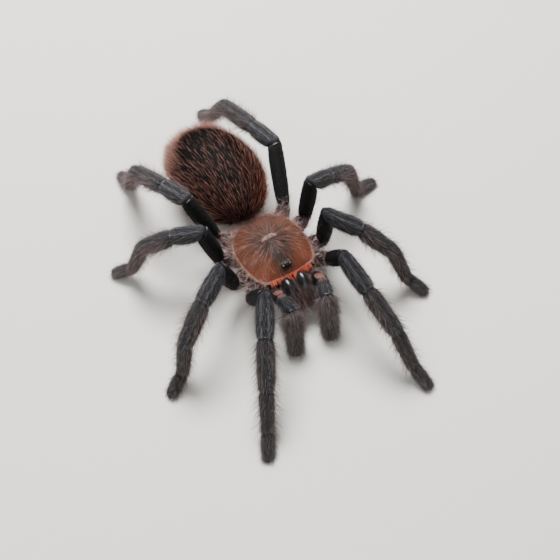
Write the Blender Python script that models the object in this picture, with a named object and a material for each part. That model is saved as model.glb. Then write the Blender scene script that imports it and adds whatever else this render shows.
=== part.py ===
"""Life-size tarantula, standing still, as a museum shows one.

Lengths are millimetres and angles are degrees; both are turned to Blender's units where a mesh is
made. The animal faces -Y, its left side is +X and the floor is z = 0. Each solid is the outside of
the living part, out to the tips of its coat, and neighbours are parted by thin cuts.
"""

import math

import bmesh
import bpy
import numpy as np
from mathutils import Matrix, Vector

MM = 0.001
GAP = 0.3  # between one solid and the next

# Shield of the front body, seen from above, with its middle at x = y = 0
SHIELD_HALF_WIDTH = 9.3
SHIELD_REAR = 9.9
SHIELD_FRONT = 9.7
SHIELD_FRONT_HALF_WIDTH = 5.9
SHIELD_FRONT_BULGE = 0.45
SHIELD_ROUNDNESS = 2.2  # exponent of its superellipse
RIM_HEIGHT = 9.1  # underside of the rim at y = 0
RIM_SLOPE = 0.04  # the rim climbs this much for each millimetre forward
RIM_THICKNESS = 0.8
DOME_RISE = 3.3
HEAD_RISE = 0.9
HEAD_MIDDLE = -5.5
HEAD_LENGTH = 4.5
HEAD_WIDTH = 4.6
FOVEA_DEPTH = 0.5
FOVEA_MIDDLE = 0.6
FOVEA_RADIUS = 1.3

# Front body below the shield: breast plate, hips and waist
CORE_RADII = (7.6, 9.0, 2.9)
CORE_HEIGHT = 6.2
HIPS = {1: (11.4, -10.1), 2: (13.0, -4.1), 3: (12.5, 4.3), 4: (9.9, 10.3)}
HIP_HEIGHT = 8.4
COXA_ROOT_HEIGHT = 5.9
COXA_ROOT_SHARE = 0.42  # how far out a coxa starts, as a share of the way to its hip
COXA_RADII = (1.8, 2.3, 2.4, 2.2, 2.0)
PALP_HIP = (5.8, -11.6, 6.7)
PALP_COXA_ROOT = (2.9, -6.4, 4.9)
PALP_COXA_RADII = (1.5, 1.6, 1.6, 1.5, 1.4)
WAIST_RADII = (1.6, 1.4, 1.3)
WAIST_START = (0.0, 5.5, 7.0)
WAIST_END = (0.3, 9.3, 7.9)

# Legs: name, length for each of the four pairs, and radius from its near end to its far end
SEGMENTS = ("femur", "patella", "tibia", "metatarsus", "tarsus")
LEG_LENGTHS = {
    1: (16.1, 9.8, 12.3, 10.6, 7.0),
    2: (14.3, 8.8, 11.0, 10.2, 6.8),
    3: (13.3, 7.6, 9.4, 11.2, 6.8),
    4: (16.6, 8.6, 12.8, 15.2, 7.8),
}
LEG_RADII = {
    "femur": (1.75, 2.15, 2.3, 2.35, 2.3, 2.15),
    "patella": (2.1, 2.3, 2.45, 2.5, 2.45, 2.3),
    "tibia": (2.2, 2.5, 2.6, 2.6, 2.5, 2.3),
    "metatarsus": (2.2, 2.3, 2.25, 2.15, 2.05, 1.95),
    "tarsus": (1.85, 1.9, 1.9, 1.85, 1.6, 0.9),
}
TOE_HEIGHT = 0.4  # of the middle of a tarsus tip: under its radius, so that it stands on a flat
KNEE_EASE = 0.6  # how much a tube narrows where it bends, as a power of the cosine of half the bend

# The stance. A bearing is 0 straight out to the animal's own side, 90 forward and -90 back; a pitch
# is 0 level and 90 up. Bearings: femur, patella with tibia, metatarsus with tarsus. Pitches: femur,
# patella, tibia. The last angle is how far the tarsus slopes down to its toe. The metatarsus takes
# the pitch that brings the toe to the floor.
STANCE = {
    ("right", 1): ((85, 60, 60), (57, -23, -34), 21),
    ("right", 2): ((31, 31, 27), (68, -14, -32), 30),
    ("right", 3): ((-18, -32, -40), (74, -13, -31), 34),
    ("right", 4): ((-39, -75, -90), (66, -14, -20), 25),
    ("left", 1): ((101, 82, 77), (56, -23, -26), 30),
    ("left", 2): ((98, 47, 55), (79, -18, -36), 31),
    ("left", 3): ((2, -16, -8), (81, -27, -34), 14),
    ("left", 4): ((-71, -100, -93), (49, -6, -10), 39),
}

# Palps: the short feelers beside the jaws
PALP_SEGMENTS = ("femur", "patella", "tibia", "tarsus")
PALP_LENGTHS = (6.8, 4.4, 5.8, 7.8)
PALP_RADII = {
    "femur": (1.4, 1.8, 1.95, 2.0, 1.95, 1.85),
    "patella": (1.8, 2.0, 2.1, 2.15, 2.15, 2.1),
    "tibia": (2.0, 2.4, 2.5, 2.5, 2.45, 2.3),
    "tarsus": (2.25, 2.4, 2.35, 2.2, 1.9, 1.3),
}
# Bearings: femur, patella, tibia with tarsus. Pitches: femur, patella, tibia.
PALP_STANCE = {
    "right": ((82, 98, 70), (53, -3, -58)),
    "left": ((97, 108, 109), (44, 6, -56)),
}
PALP_TOE_HEIGHT = -0.35  # below the floor, where the upright palp is cut flat

# Jaws: two swollen bases side by side, each with a fang folded under it
JAW_OFFSET = 2.05
JAW_RINGS = (  # forward from the shield's front: distance, middle height, half width, half height
    (-10.5, 8.6, 1.6, 1.9),
    (-11.3, 8.9, 1.8, 2.6),
    (-12.8, 8.7, 1.9, 2.8),
    (-14.6, 8.0, 1.9, 2.6),
    (-16.2, 7.0, 1.7, 2.1),
    (-17.2, 6.2, 1.1, 1.3),
)
FANG_PATH = ((1.9, -16.3, 4.4), (1.8, -15.9, 3.3), (1.65, -14.6, 2.5), (1.5, -12.9, 2.3))
FANG_RADII = (0.75, 0.62, 0.42, 0.25)

# Eyes: one low mound on the head that carries all eight
MOUND_MIDDLE = (0.0, -7.6)
MOUND_RADII = (1.45, 1.05, 0.85)
EYES = (  # sideways and forward from the mound's middle, height as a share of the mound's, radius
    (0.42, 0.35, 0.88, 0.30),
    (1.02, 0.55, 0.45, 0.34),
    (1.15, -0.15, 0.42, 0.30),
    (0.72, -0.35, 0.72, 0.24),
)

# Abdomen: an egg, wider to the rear, swung a little to the right and carried level
ABDOMEN_MIDDLE = (-1.2, 25.9, 11.7)
ABDOMEN_RADII = (12.5, 16.1, 10.5)
ABDOMEN_TURN = 9
ABDOMEN_LIFT = 6
ABDOMEN_EGG = 0.01
SPINNERET_PATH = ((1.6, -2.2), (2.2, 0.6), (2.7, 2.6), (3.0, 4.3))  # sideways, rearward of its root
SPINNERET_ROOT = (0.0, 14.2, -5.2)  # from the abdomen's middle, along the abdomen
SPINNERET_RADII = (1.0, 0.9, 0.7, 0.5)

SIDES = {"right": -1, "left": 1}
RING = 10  # corners round a leg
SMOOTH_UNDER = 35  # degrees between faces up to which an edge is shaded smooth
FLOOR_BLOCK = 200.0  # half width of the block that cuts the feet flat at the floor

COLOURS = {  # base colour as linear red, green and blue, then roughness
    "rust_shield": ((0.24, 0.075, 0.032), 0.6),
    "pink_brown_flesh": ((0.16, 0.07, 0.05), 0.75),
    "velvet_black": ((0.008, 0.008, 0.009), 0.85),
    "charcoal_hair": ((0.035, 0.036, 0.042), 0.75),
    "grey_brown_hair": ((0.06, 0.05, 0.045), 0.8),
    "jaw_black": ((0.012, 0.012, 0.015), 0.55),
    "fang_horn": ((0.008, 0.005, 0.004), 0.2),
    "eye_glass": ((0.02, 0.015, 0.012), 0.1),
    "abdomen_brown": ((0.05, 0.02, 0.015), 0.8),
}
SEGMENT_MATERIALS = {
    "femur": "velvet_black",
    "patella": "charcoal_hair",
    "tibia": "grey_brown_hair",
    "metatarsus": "grey_brown_hair",
    "tarsus": "charcoal_hair",
}


def clear_scene():
    for obj in list(bpy.data.objects):
        bpy.data.objects.remove(obj, do_unlink=True)


def make_materials():
    for name, (colour, roughness) in COLOURS.items():
        material = bpy.data.materials.new(name)
        material.use_nodes = True
        shader = material.node_tree.nodes["Principled BSDF"]
        shader.inputs["Base Color"].default_value = (*colour, 1.0)
        shader.inputs["Roughness"].default_value = roughness
        shader.inputs["Metallic"].default_value = 0.0


def new_collection(name):
    collection = bpy.data.collections.new(name)
    bpy.context.scene.collection.children.link(collection)
    return collection


def new_empty(name, place, parent=None):
    empty = bpy.data.objects.new(name, None)
    empty.location = Vector(place) * MM
    empty.parent = parent
    parts.objects.link(empty)
    return empty


def new_object(name, mesh, material=None, parent=None):
    """A part when it has a material, or else a cutter, which is never rendered."""
    obj = bpy.data.objects.new(name, mesh)
    obj.parent = parent or tarantula
    if material:
        mesh.shade_smooth()
        mesh.set_sharp_from_angle(angle=math.radians(SMOOTH_UNDER))
        mesh.materials.append(bpy.data.materials[material])
        parts.objects.link(obj)
    else:
        cutters.objects.link(obj)
        obj.hide_render = True
        obj.display_type = "WIRE"
    return obj


def combine(obj, other, operation="DIFFERENCE"):
    modifier = obj.modifiers.new(f"{operation.lower()} {other.name}", "BOOLEAN")
    modifier.operation = operation
    modifier.solver = "EXACT"
    modifier.object = other


def loft(name, rings):
    """A closed skin through rings of equal count, in millimetres, with a flat face at each end."""
    count = len(rings[0])
    corners = np.concatenate(rings) * MM
    faces = []
    for ring in range(len(rings) - 1):
        for i in range(count):
            j = (i + 1) % count
            near, far = ring * count, (ring + 1) * count
            faces.append((near + i, near + j, far + j, far + i))
    last = (len(rings) - 1) * count
    faces.append(tuple(reversed(range(count))))
    faces.append(tuple(range(last, last + count)))
    mesh = bpy.data.meshes.new(name)
    mesh.from_pydata(corners.tolist(), [], faces)
    shape = bmesh.new()
    shape.from_mesh(mesh)
    bmesh.ops.recalc_face_normals(shape, faces=shape.faces)
    shape.to_mesh(mesh)
    shape.free()
    return mesh


def ball(name, radii, around, along):
    """A sphere with its poles on Y, stretched to three radii."""
    mesh = bpy.data.meshes.new(name)
    shape = bmesh.new()
    bmesh.ops.create_uvsphere(shape, u_segments=around, v_segments=along, radius=MM)
    bmesh.ops.rotate(shape, verts=shape.verts, matrix=Matrix.Rotation(math.radians(90), 3, "X"))
    bmesh.ops.scale(shape, verts=shape.verts, vec=radii)
    shape.to_mesh(mesh)
    shape.free()
    return mesh


def box(name, low, high):
    mesh = bpy.data.meshes.new(name)
    shape = bmesh.new()
    bmesh.ops.create_cube(shape, size=1.0)
    size = Vector(high) - Vector(low)
    bmesh.ops.scale(shape, verts=shape.verts, vec=size * MM)
    bmesh.ops.translate(shape, verts=shape.verts, vec=(Vector(high) + Vector(low)) * (MM / 2))
    shape.to_mesh(mesh)
    shape.free()
    return mesh


def heading(side, bearing, pitch):
    """Unit vector for a bearing and a pitch on the left (+1) or right (-1) side."""
    b, p = math.radians(bearing), math.radians(pitch)
    return Vector((side * math.cos(p) * math.cos(b), -math.cos(p) * math.sin(b), math.sin(p)))


def aim(direction):
    """Turns local Z along a direction, with local Y on its upper side."""
    up = Vector((0, 0, 1))
    up = (up - direction * up.dot(direction)).normalized()
    return Matrix((up.cross(direction), up, direction)).transposed()


def mitre(toward, along):
    """Normal of the plane that halves the bend between two directions."""
    return (toward + along).normalized()


def tube(name, start, end, radii, before, after):
    """A tapered tube whose ends are cut on the planes that halve the bends to its neighbours.

    It is made along local Z from the start. Each line along it runs from the first plane to the
    second, both moved in by half the gap, and the rings lie at even shares of that line.
    """
    direction = (end - start).normalized()
    turn = aim(direction)
    length = (end - start).length
    first = turn.transposed() @ mitre(before, direction)
    last = turn.transposed() @ mitre(direction, after)
    angles = np.arange(RING) * (2 * math.pi / RING) + math.pi / RING
    circle = np.stack([np.cos(angles), np.sin(angles)], axis=1)

    def reach(normal, radius, inset):
        return (inset - radius * circle @ np.array(normal[:2])) / normal[2]

    radii = [radii[0] * first[2] ** KNEE_EASE, *radii[1:-1], radii[-1] * last[2] ** KNEE_EASE]
    begin = reach(first, radii[0], GAP / 2)
    finish = length + reach(last, radii[-1], -GAP / 2)
    rings = []
    for share, radius in zip(np.linspace(0, 1, len(radii)), radii):
        rings.append(np.column_stack([circle * radius, begin + share * (finish - begin)]))
    return loft(name, rings), turn


def tube_object(name, start, end, radii, before, after, *, material=None, parent=None):
    mesh, turn = tube(name, start, end, radii, before, after)
    obj = new_object(name, mesh, material, parent)
    origin = parent.location if parent else Vector((0, 0, 0))
    obj.location = start * MM - origin
    obj.rotation_euler = turn.to_euler()
    return obj


def shield_outline():
    """The rim from above: a round rear, sides that draw in to the shoulders, an almost straight front."""
    power = 2 / SHIELD_ROUNDNESS
    angle = np.radians(np.arange(0, 90, 15))
    side = np.array([0.0, 0.25, 0.5, 0.72, 0.9, 1.0])
    front = np.array([0.75, 0.5, 0.25])
    narrowing = SHIELD_HALF_WIDTH - SHIELD_FRONT_HALF_WIDTH
    left = np.concatenate([
        np.column_stack([
            SHIELD_HALF_WIDTH * np.sin(angle) ** power,
            SHIELD_REAR * np.cos(angle) ** power,
        ]),
        np.column_stack([
            SHIELD_FRONT_HALF_WIDTH + narrowing * np.sqrt(1 - side**SHIELD_ROUNDNESS),
            -SHIELD_FRONT * side,
        ]),
        np.column_stack([
            SHIELD_FRONT_HALF_WIDTH * front,
            -SHIELD_FRONT - SHIELD_FRONT_BULGE * (1 - front**2),
        ]),
        [[0.0, -SHIELD_FRONT - SHIELD_FRONT_BULGE]],
    ])
    right = left[-2:0:-1] * (-1, 1)
    return np.concatenate([left, right])


def shield_height(x, y, share):
    """Top of the shield: a dome that flattens to the rim, a raised head and a dimple behind it."""
    rim = RIM_HEIGHT - RIM_SLOPE * y + RIM_THICKNESS
    dome = DOME_RISE * (1 - share**2.4)
    head = HEAD_RISE * np.exp(-(((y - HEAD_MIDDLE) / HEAD_LENGTH) ** 2) - (x / HEAD_WIDTH) ** 2)
    fovea = FOVEA_DEPTH * np.exp(-(x**2 + (y - FOVEA_MIDDLE) ** 2) / FOVEA_RADIUS**2)
    return rim + dome + (head - fovea) * (1 - share**2)


def shield_mesh(name, grow=0.0):
    """The shield, or with grow the space that its neighbours leave round it."""
    outline = shield_outline()
    outline = outline * (1 + grow / np.linalg.norm(outline, axis=1, keepdims=True))
    x, y = outline.T
    rings = [np.column_stack([x, y, RIM_HEIGHT - grow - RIM_SLOPE * y])]
    for share in (1.0, 0.93, 0.8, 0.62, 0.42, 0.22, 0.06):
        x, y = outline.T * share
        rings.append(np.column_stack([x, y, shield_height(x, y, share) + grow]))
    return loft(name, rings)


def jaw_mesh(name, side, grow=0.0):
    """One jaw base: oval rings from the shield's front to the fang, or the space left round it."""
    angles = np.linspace(0, 2 * math.pi, 12, endpoint=False)
    rings = []
    for place, (y, middle, half_width, half_height) in enumerate(JAW_RINGS):
        push = grow if place == 0 else -grow if place == len(JAW_RINGS) - 1 else 0.0
        rings.append(np.column_stack([
            side * JAW_OFFSET + (half_width + grow) * np.cos(angles),
            np.full_like(angles, y + push),
            middle + (half_height + grow) * np.sin(angles),
        ]))
    return loft(name, rings)


def make_shield():
    """The shield, and the cutter that keeps its neighbours off it, which is returned."""
    new_object("carapace", shield_mesh("carapace"), "rust_shield")
    return new_object("space_round_carapace", shield_mesh("space_round_carapace", GAP))


def make_jaws(shield_space):
    """Both jaw bases with their fangs. The cutters that keep other parts off the bases are returned."""
    spaces = []
    for name, side in SIDES.items():
        jaw = new_object(f"{name}_chelicera", jaw_mesh(f"{name}_chelicera", side), "jaw_black")
        combine(jaw, shield_space)
        space_name = f"space_round_{name}_chelicera"
        spaces.append(new_object(space_name, jaw_mesh(space_name, side, GAP)))
        make_fang(name, side)
    return spaces


def tapered_path(name, points, radii, sides):
    """A round bar along a few points, with its own radius at each and flat ends."""
    points = [Vector(point) for point in points]
    rings = []
    angles = np.linspace(0, 2 * math.pi, sides, endpoint=False)
    for place, (point, radius) in enumerate(zip(points, radii)):
        before = points[max(place - 1, 0)]
        after = points[min(place + 1, len(points) - 1)]
        turn = np.array(aim((after - before).normalized()))
        circle = np.column_stack([np.cos(angles), np.sin(angles), np.zeros(sides)]) * radius
        rings.append(np.array(point) + circle @ turn.T)
    return loft(name, rings)


def make_fang(name, side):
    path = [(side * x, y, z) for x, y, z in FANG_PATH]
    new_object(f"{name}_fang", tapered_path(f"{name}_fang", path, FANG_RADII, 8), "fang_horn")


def make_eyes(shield_space):
    """The eye mound with its eight eyes joined on, seated on the shield."""
    x, y = MOUND_MIDDLE
    top = shield_height(x, y, abs(y) / SHIELD_FRONT)
    mound = new_object("ocular_tubercle", ball("ocular_tubercle", MOUND_RADII, 16, 10), "eye_glass")
    mound.location = Vector((x, y, top + GAP)) * MM
    for side in SIDES.values():
        for place, (across, forward, share, radius) in enumerate(EYES):
            name = f"eye_{place + 1}_{'left' if side > 0 else 'right'}"
            eye = new_object(name, ball(name, (radius,) * 3, 8, 5))
            height = top + GAP + MOUND_RADII[2] * share
            eye.location = Vector((x + side * across, y - forward, height)) * MM
            combine(mound, eye, "UNION")
    combine(mound, shield_space)


def hip(side, pair):
    """Where a leg, or the palp, leaves its hip segment."""
    x, y, z = PALP_HIP if pair == "palp" else (*HIPS[pair], HIP_HEIGHT)
    return Vector((side * x, y, z))


def coxa_root(side, pair):
    """Where the hip segment starts, inside the front body."""
    if pair == "palp":
        x, y, z = PALP_COXA_ROOT
        return Vector((side * x, y, z))
    place = hip(side, pair) * COXA_ROOT_SHARE
    return Vector((place.x, place.y, COXA_ROOT_HEIGHT))


def make_thorax(shield_space, jaw_spaces, first_headings):
    """The breast plate with all ten hips and the waist joined on, under the shield."""
    thorax = new_object("thorax", ball("thorax", CORE_RADII, 20, 10), "pink_brown_flesh")
    thorax.location = Vector((0, 0, CORE_HEIGHT)) * MM
    for (name, pair), after in first_headings.items():
        root, end = coxa_root(SIDES[name], pair), hip(SIDES[name], pair)
        radii = PALP_COXA_RADII if pair == "palp" else COXA_RADII
        along = (end - root).normalized()
        stub = tube_object(f"coxa_{name}_{pair}", root, end, radii, along, after)
        combine(thorax, stub, "UNION")
    along = (Vector(WAIST_END) - Vector(WAIST_START)).normalized()
    waist = tube_object("waist", Vector(WAIST_START), Vector(WAIST_END), WAIST_RADII, along, along)
    combine(thorax, waist, "UNION")
    for space in (shield_space, *jaw_spaces):
        combine(thorax, space)


def leg_joints(name, pair):
    """Places of the hip, the four joints beyond it and the toe, and the heading of each segment."""
    bearings, pitches, slope = STANCE[name, pair]
    lengths = LEG_LENGTHS[pair]
    places, headings = [hip(SIDES[name], pair)], []
    for bearing, pitch, length in zip((*bearings[:2], bearings[1]), pitches, lengths):
        headings.append(heading(SIDES[name], bearing, pitch))
        places.append(places[-1] + headings[-1] * length)
    drop = places[-1].z - TOE_HEIGHT - lengths[4] * math.sin(math.radians(slope))
    steepness = math.degrees(math.asin(drop / lengths[3]))
    for pitch, length in zip((-steepness, -slope), lengths[3:]):
        headings.append(heading(SIDES[name], bearings[2], pitch))
        places.append(places[-1] + headings[-1] * length)
    return places, headings


def palp_joints(name):
    """The same for a palp, whose last segment takes the pitch that brings it to the floor."""
    bearings, pitches = PALP_STANCE[name]
    side = SIDES[name]
    places, headings = [hip(side, "palp")], []
    for bearing, pitch, length in zip(bearings, pitches, PALP_LENGTHS):
        headings.append(heading(side, bearing, pitch))
        places.append(places[-1] + headings[-1] * length)
    steepness = math.degrees(math.asin((places[-1].z - PALP_TOE_HEIGHT) / PALP_LENGTHS[3]))
    headings.append(heading(side, bearings[2], -steepness))
    places.append(places[-1] + headings[-1] * PALP_LENGTHS[3])
    return places, headings


def make_limb(label, segments, radii, places, headings, before, base_spaces, floor):
    """The segments of one limb, parented to an empty at its hip, each an object of its own."""
    root = new_empty(label, places[0], tarantula)
    ends = [before, *headings, headings[-1]]
    for place, segment in enumerate(segments):
        obj = tube_object(
            f"{label}_{segment}", places[place], places[place + 1], radii[segment],
            ends[place], ends[place + 2], material=SEGMENT_MATERIALS[segment], parent=root,
        )
        if place == 0:
            for space in base_spaces:
                combine(obj, space)
        if segment == "tarsus":
            combine(obj, floor)


def egg(mesh):
    """Widens the rear half of a ball and narrows the front, along Y."""
    for vertex in mesh.vertices:
        share = vertex.co.y / (ABDOMEN_RADII[1] * MM)
        vertex.co.x *= 1 + ABDOMEN_EGG * share
        vertex.co.z *= 1 + ABDOMEN_EGG * share


def abdomen_object(name, turn, grow=0.0, material=None):
    """The egg of the abdomen, or with grow the space that the spinnerets leave round it."""
    mesh = ball(name, [radius + grow for radius in ABDOMEN_RADII], 24, 16)
    egg(mesh)
    obj = new_object(name, mesh, material)
    obj.location = Vector(ABDOMEN_MIDDLE) * MM
    obj.rotation_euler = turn.to_euler()
    return obj


def make_abdomen(shield_space):
    """The abdomen and its two long spinnerets."""
    lift = Matrix.Rotation(math.radians(ABDOMEN_LIFT), 3, "X")
    turn = Matrix.Rotation(math.radians(ABDOMEN_TURN), 3, "Z") @ lift
    abdomen = abdomen_object("abdomen", turn, material="abdomen_brown")
    combine(abdomen, shield_space)
    abdomen_space = abdomen_object("space_round_abdomen", turn, grow=GAP)
    root = Vector(ABDOMEN_MIDDLE) + turn @ Vector(SPINNERET_ROOT)
    for name, side in SIDES.items():
        path = [root + turn @ Vector((side * across, back, 0)) for across, back in SPINNERET_PATH]
        mesh = tapered_path(f"{name}_spinneret", path, SPINNERET_RADII, 8)
        combine(new_object(f"{name}_spinneret", mesh, "abdomen_brown"), abdomen_space)


def centre_on_floor():
    """Moves the whole animal so that x = y = 0 is the middle of its box. The floor stays at 0."""
    bpy.context.view_layer.update()
    graph = bpy.context.evaluated_depsgraph_get()
    low, high = Vector((1e9, 1e9, 1e9)), Vector((-1e9, -1e9, -1e9))
    for obj in parts.objects:
        if obj.type != "MESH":
            continue
        for corner in obj.evaluated_get(graph).bound_box:
            place = obj.matrix_world @ Vector(corner)
            low = Vector(map(min, low, place))
            high = Vector(map(max, high, place))
    middle = (low + high) / 2
    tarantula.location = (-middle.x, -middle.y, 0)
    bpy.context.view_layer.update()


clear_scene()
make_materials()
parts = new_collection("parts")
cutters = new_collection("cutters")
tarantula = new_empty("tarantula", (0, 0, 0))

limbs = {}
for side_name in SIDES:
    for pair_number in LEG_LENGTHS:
        limbs[side_name, pair_number] = leg_joints(side_name, pair_number)
    limbs[side_name, "palp"] = palp_joints(side_name)

floor_mesh = box("floor_block", (-FLOOR_BLOCK,) * 3, (FLOOR_BLOCK, FLOOR_BLOCK, 0))
floor_block = new_object("floor_block", floor_mesh)
carapace_space = make_shield()
chelicera_spaces = make_jaws(carapace_space)
make_eyes(carapace_space)
make_thorax(carapace_space, chelicera_spaces, {key: limb[1][0] for key, limb in limbs.items()})
for (side_name, pair_number), (joints, directions) in limbs.items():
    way_out = (joints[0] - coxa_root(SIDES[side_name], pair_number)).normalized()
    if pair_number == "palp":
        make_limb(
            f"{side_name}_palp", PALP_SEGMENTS, PALP_RADII, joints, directions,
            way_out, (carapace_space, *chelicera_spaces), floor_block,
        )
    else:
        make_limb(
            f"{side_name}_leg_{pair_number}", SEGMENTS, LEG_RADII, joints, directions,
            way_out, (carapace_space,), floor_block,
        )
make_abdomen(carapace_space)
centre_on_floor()
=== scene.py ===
"""Life-size tarantula for a museum case: one hide, horn plates, lenses, claws and a coat of hair.

Lengths are millimetres in the shield's own frame: the middle of the shield is x = y = 0, the floor
is z = 0, the head looks to -Y and the animal's left is +X. A mesh is turned to metres and moved to
the frame's place as it is made.
"""
import math

import bpy
import numpy as np
from mathutils import Matrix, Vector


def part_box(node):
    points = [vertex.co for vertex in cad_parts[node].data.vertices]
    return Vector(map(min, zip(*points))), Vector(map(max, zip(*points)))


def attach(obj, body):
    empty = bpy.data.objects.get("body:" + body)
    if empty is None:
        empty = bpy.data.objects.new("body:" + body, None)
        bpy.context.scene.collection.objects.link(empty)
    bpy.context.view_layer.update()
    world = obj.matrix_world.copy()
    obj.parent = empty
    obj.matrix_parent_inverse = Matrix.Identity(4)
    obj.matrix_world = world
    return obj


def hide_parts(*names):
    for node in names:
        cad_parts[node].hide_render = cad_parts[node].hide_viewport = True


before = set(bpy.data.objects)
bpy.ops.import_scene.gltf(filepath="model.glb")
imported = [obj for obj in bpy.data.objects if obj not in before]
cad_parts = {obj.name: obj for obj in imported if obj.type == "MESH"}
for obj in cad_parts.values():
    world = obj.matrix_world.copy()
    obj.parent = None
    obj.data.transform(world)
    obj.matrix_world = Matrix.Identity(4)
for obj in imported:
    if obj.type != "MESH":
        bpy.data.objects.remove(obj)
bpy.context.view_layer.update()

MM = 0.001
SIDES = {"right": -1, "left": 1}
UP = np.array([0.0, 0.0, 1.0])

# Shield of the front body, from above
SHIELD_HALF_WIDTH = 9.3
SHIELD_REAR = 9.9
SHIELD_FRONT = 9.7
SHIELD_FRONT_HALF_WIDTH = 5.9
SHIELD_FRONT_BULGE = 0.45
SHIELD_ROUNDNESS = 2.2
RIM_HEIGHT, RIM_SLOPE, RIM_THICKNESS = 9.1, 0.04, 0.8
# The edge of the plate, rounded over and back underneath: shares of the rim, and how far below it
RIM_TURN = ((1.006, 0.12), (1.004, 0.34), (0.985, 0.5), (0.93, 0.52), (0.6, 0.3), (0.02, 0.3))
DOME_RISE = 3.3
HEAD_RISE, HEAD_MIDDLE, HEAD_LENGTH, HEAD_WIDTH = 0.9, -5.5, 4.5, 4.6
FOVEA_MIDDLE = 0.6
FOVEA_DEPTH, FOVEA_HALF_WIDTH, FOVEA_HALF_LENGTH, FOVEA_CURVE = 0.5, 1.1, 0.42, 0.12
FOLD_BEHIND = 0.3  # how far behind the fovea its fold lies, painted pale as a highlight
FURROWS = ((38, 0.42), (72, 0.24), (105, 0.22), (140, 0.2))  # degrees from straight ahead, and depth
FURROW_WIDTH = 7  # degrees
SHIELD_COAT = 0.15  # depth of the hair that lies on the shield

# Joints of the limbs
HIPS = {1: (11.4, -10.1), 2: (13.0, -4.1), 3: (12.5, 4.3), 4: (9.9, 10.3)}
HIP_HEIGHT = 8.4
COXA_ROOT_HEIGHT, COXA_ROOT_SHARE = 5.9, 0.42
PALP_HIP = (5.8, -11.6, 6.7)
PALP_COXA_ROOT = (2.9, -6.4, 4.9)
LEG_SEGMENTS = ("coxa", "femur", "patella", "tibia", "metatarsus", "tarsus")
PALP_SEGMENTS = ("coxa", "femur", "patella", "tibia", "tarsus")
LEG_LENGTHS = {
    1: (16.1, 9.8, 12.3, 10.6, 7.0),
    2: (14.3, 8.8, 11.0, 10.2, 6.8),
    3: (13.3, 7.6, 9.4, 11.2, 6.8),
    4: (16.6, 8.6, 12.8, 15.2, 7.8),
}
PALP_LENGTHS = (6.8, 4.4, 5.8, 7.8)
TOE_HEIGHT = 0.4
PALP_TOE_HEIGHT = -0.35
# Bearings (0 straight out, 90 forward): femur, patella with tibia, metatarsus with tarsus. Pitches:
# femur, patella, tibia. Last, how far the tarsus slopes down. The metatarsus reaches for the floor.
STANCE = {
    ("right", 1): ((85, 60, 60), (57, -23, -34), 21),
    ("right", 2): ((31, 31, 27), (68, -14, -32), 30),
    ("right", 3): ((-18, -32, -40), (74, -13, -31), 34),
    ("right", 4): ((-39, -75, -90), (66, -14, -20), 25),
    ("left", 1): ((101, 82, 77), (56, -23, -26), 30),
    ("left", 2): ((98, 47, 55), (79, -18, -36), 31),
    ("left", 3): ((2, -16, -8), (81, -27, -34), 14),
    ("left", 4): ((-71, -100, -93), (49, -6, -10), 39),
}
PALP_STANCE = {"right": ((82, 98, 70), (53, -3, -58)), "left": ((97, 108, 109), (44, 6, -56))}

# Radius of the hide along each segment, under the coat
LEG_HIDE = {
    "coxa": (1.4, 1.9, 2.1, 2.05, 1.9, 1.65),
    "femur": (1.5, 1.8, 1.95, 2.0, 1.95, 1.75),
    "patella": (1.8, 2.0, 2.1, 2.15, 2.1, 1.9),
    "tibia": (1.8, 2.0, 2.05, 2.0, 1.9, 1.7),
    "metatarsus": (1.65, 1.7, 1.65, 1.55, 1.5, 1.4),
    "tarsus": (1.35, 1.4, 1.45, 1.4, 1.25, 1.0),
}
PALP_HIDE = {
    "coxa": (1.2, 1.35, 1.4, 1.35, 1.25, 1.15),
    "femur": (1.15, 1.45, 1.6, 1.65, 1.6, 1.5),
    "patella": (1.4, 1.55, 1.65, 1.7, 1.7, 1.55),
    "tibia": (1.55, 1.8, 1.9, 1.9, 1.85, 1.7),
    "tarsus": (1.65, 1.8, 1.8, 1.7, 1.5, 1.2),
}
RIM_RADIUS = 0.075
# How strongly the pale joint rims show, at the knee and then beyond the patella
RIM_STRENGTH = {1: (0.4, 0.25), 2: (0.65, 0.3), 3: (0.8, 0.35), 4: (0.9, 0.6), "palp": (0.25, 0.55)}
JOINT_NOTCH = 0.16  # how far the hide draws in at a joint
JOINT_NOTCH_WIDTH = 0.45
TOE_START, TOE_REACH = 0.86, 0.14  # shares of the last segment: where it starts to round off, and the rest
PAD_HEIGHT = 0.3  # the hide of a foot is pressed flat this far above the floor
FLOOR_CLEARANCE = 0.03

# Claws, jaws, eyes, abdomen
CLAW_HOOK = ((0, 0.0), (0.6, 0.1), (1.0, -0.2), (1.1, -0.5))  # share of the reach, and height
CLAW_RADII = (0.16, 0.13, 0.09, 0.03)
CLAW_REACH, PALP_CLAW_REACH = 0.75, 0.4
JAW_OFFSET = 2.05
JAW_TIP_START, JAW_TIP_REACH = 0.9, 0.1  # shares of the jaw
JAW_RINGS = (  # forward place, middle height, half width, half height
    (-9.6, 8.4, 1.3, 1.4),
    (-11.0, 8.8, 1.6, 2.2),
    (-12.8, 8.65, 1.7, 2.45),
    (-14.6, 8.0, 1.7, 2.3),
    (-16.2, 6.9, 1.5, 1.8),
    (-16.9, 6.3, 1.1, 1.3),
)
FANG_PATH = ((1.9, -16.0, 5.0), (1.9, -16.3, 4.1), (1.8, -15.8, 3.2), (1.65, -14.6, 2.5), (1.5, -13.0, 2.3))
FANG_RADII = (0.8, 0.72, 0.58, 0.4, 0.12)
MOUND_MIDDLE = (0.0, -7.6)
MOUND_RADII = (1.45, 1.05, 0.85)
MOUND_LIFT = 0.1
EYES = (  # sideways and forward from the mound's middle, height as a share of the mound's, radius
    (0.42, 0.35, 0.88, 0.30),
    (1.02, 0.55, 0.45, 0.34),
    (1.15, -0.15, 0.42, 0.30),
    (0.72, -0.35, 0.72, 0.24),
)
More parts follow.
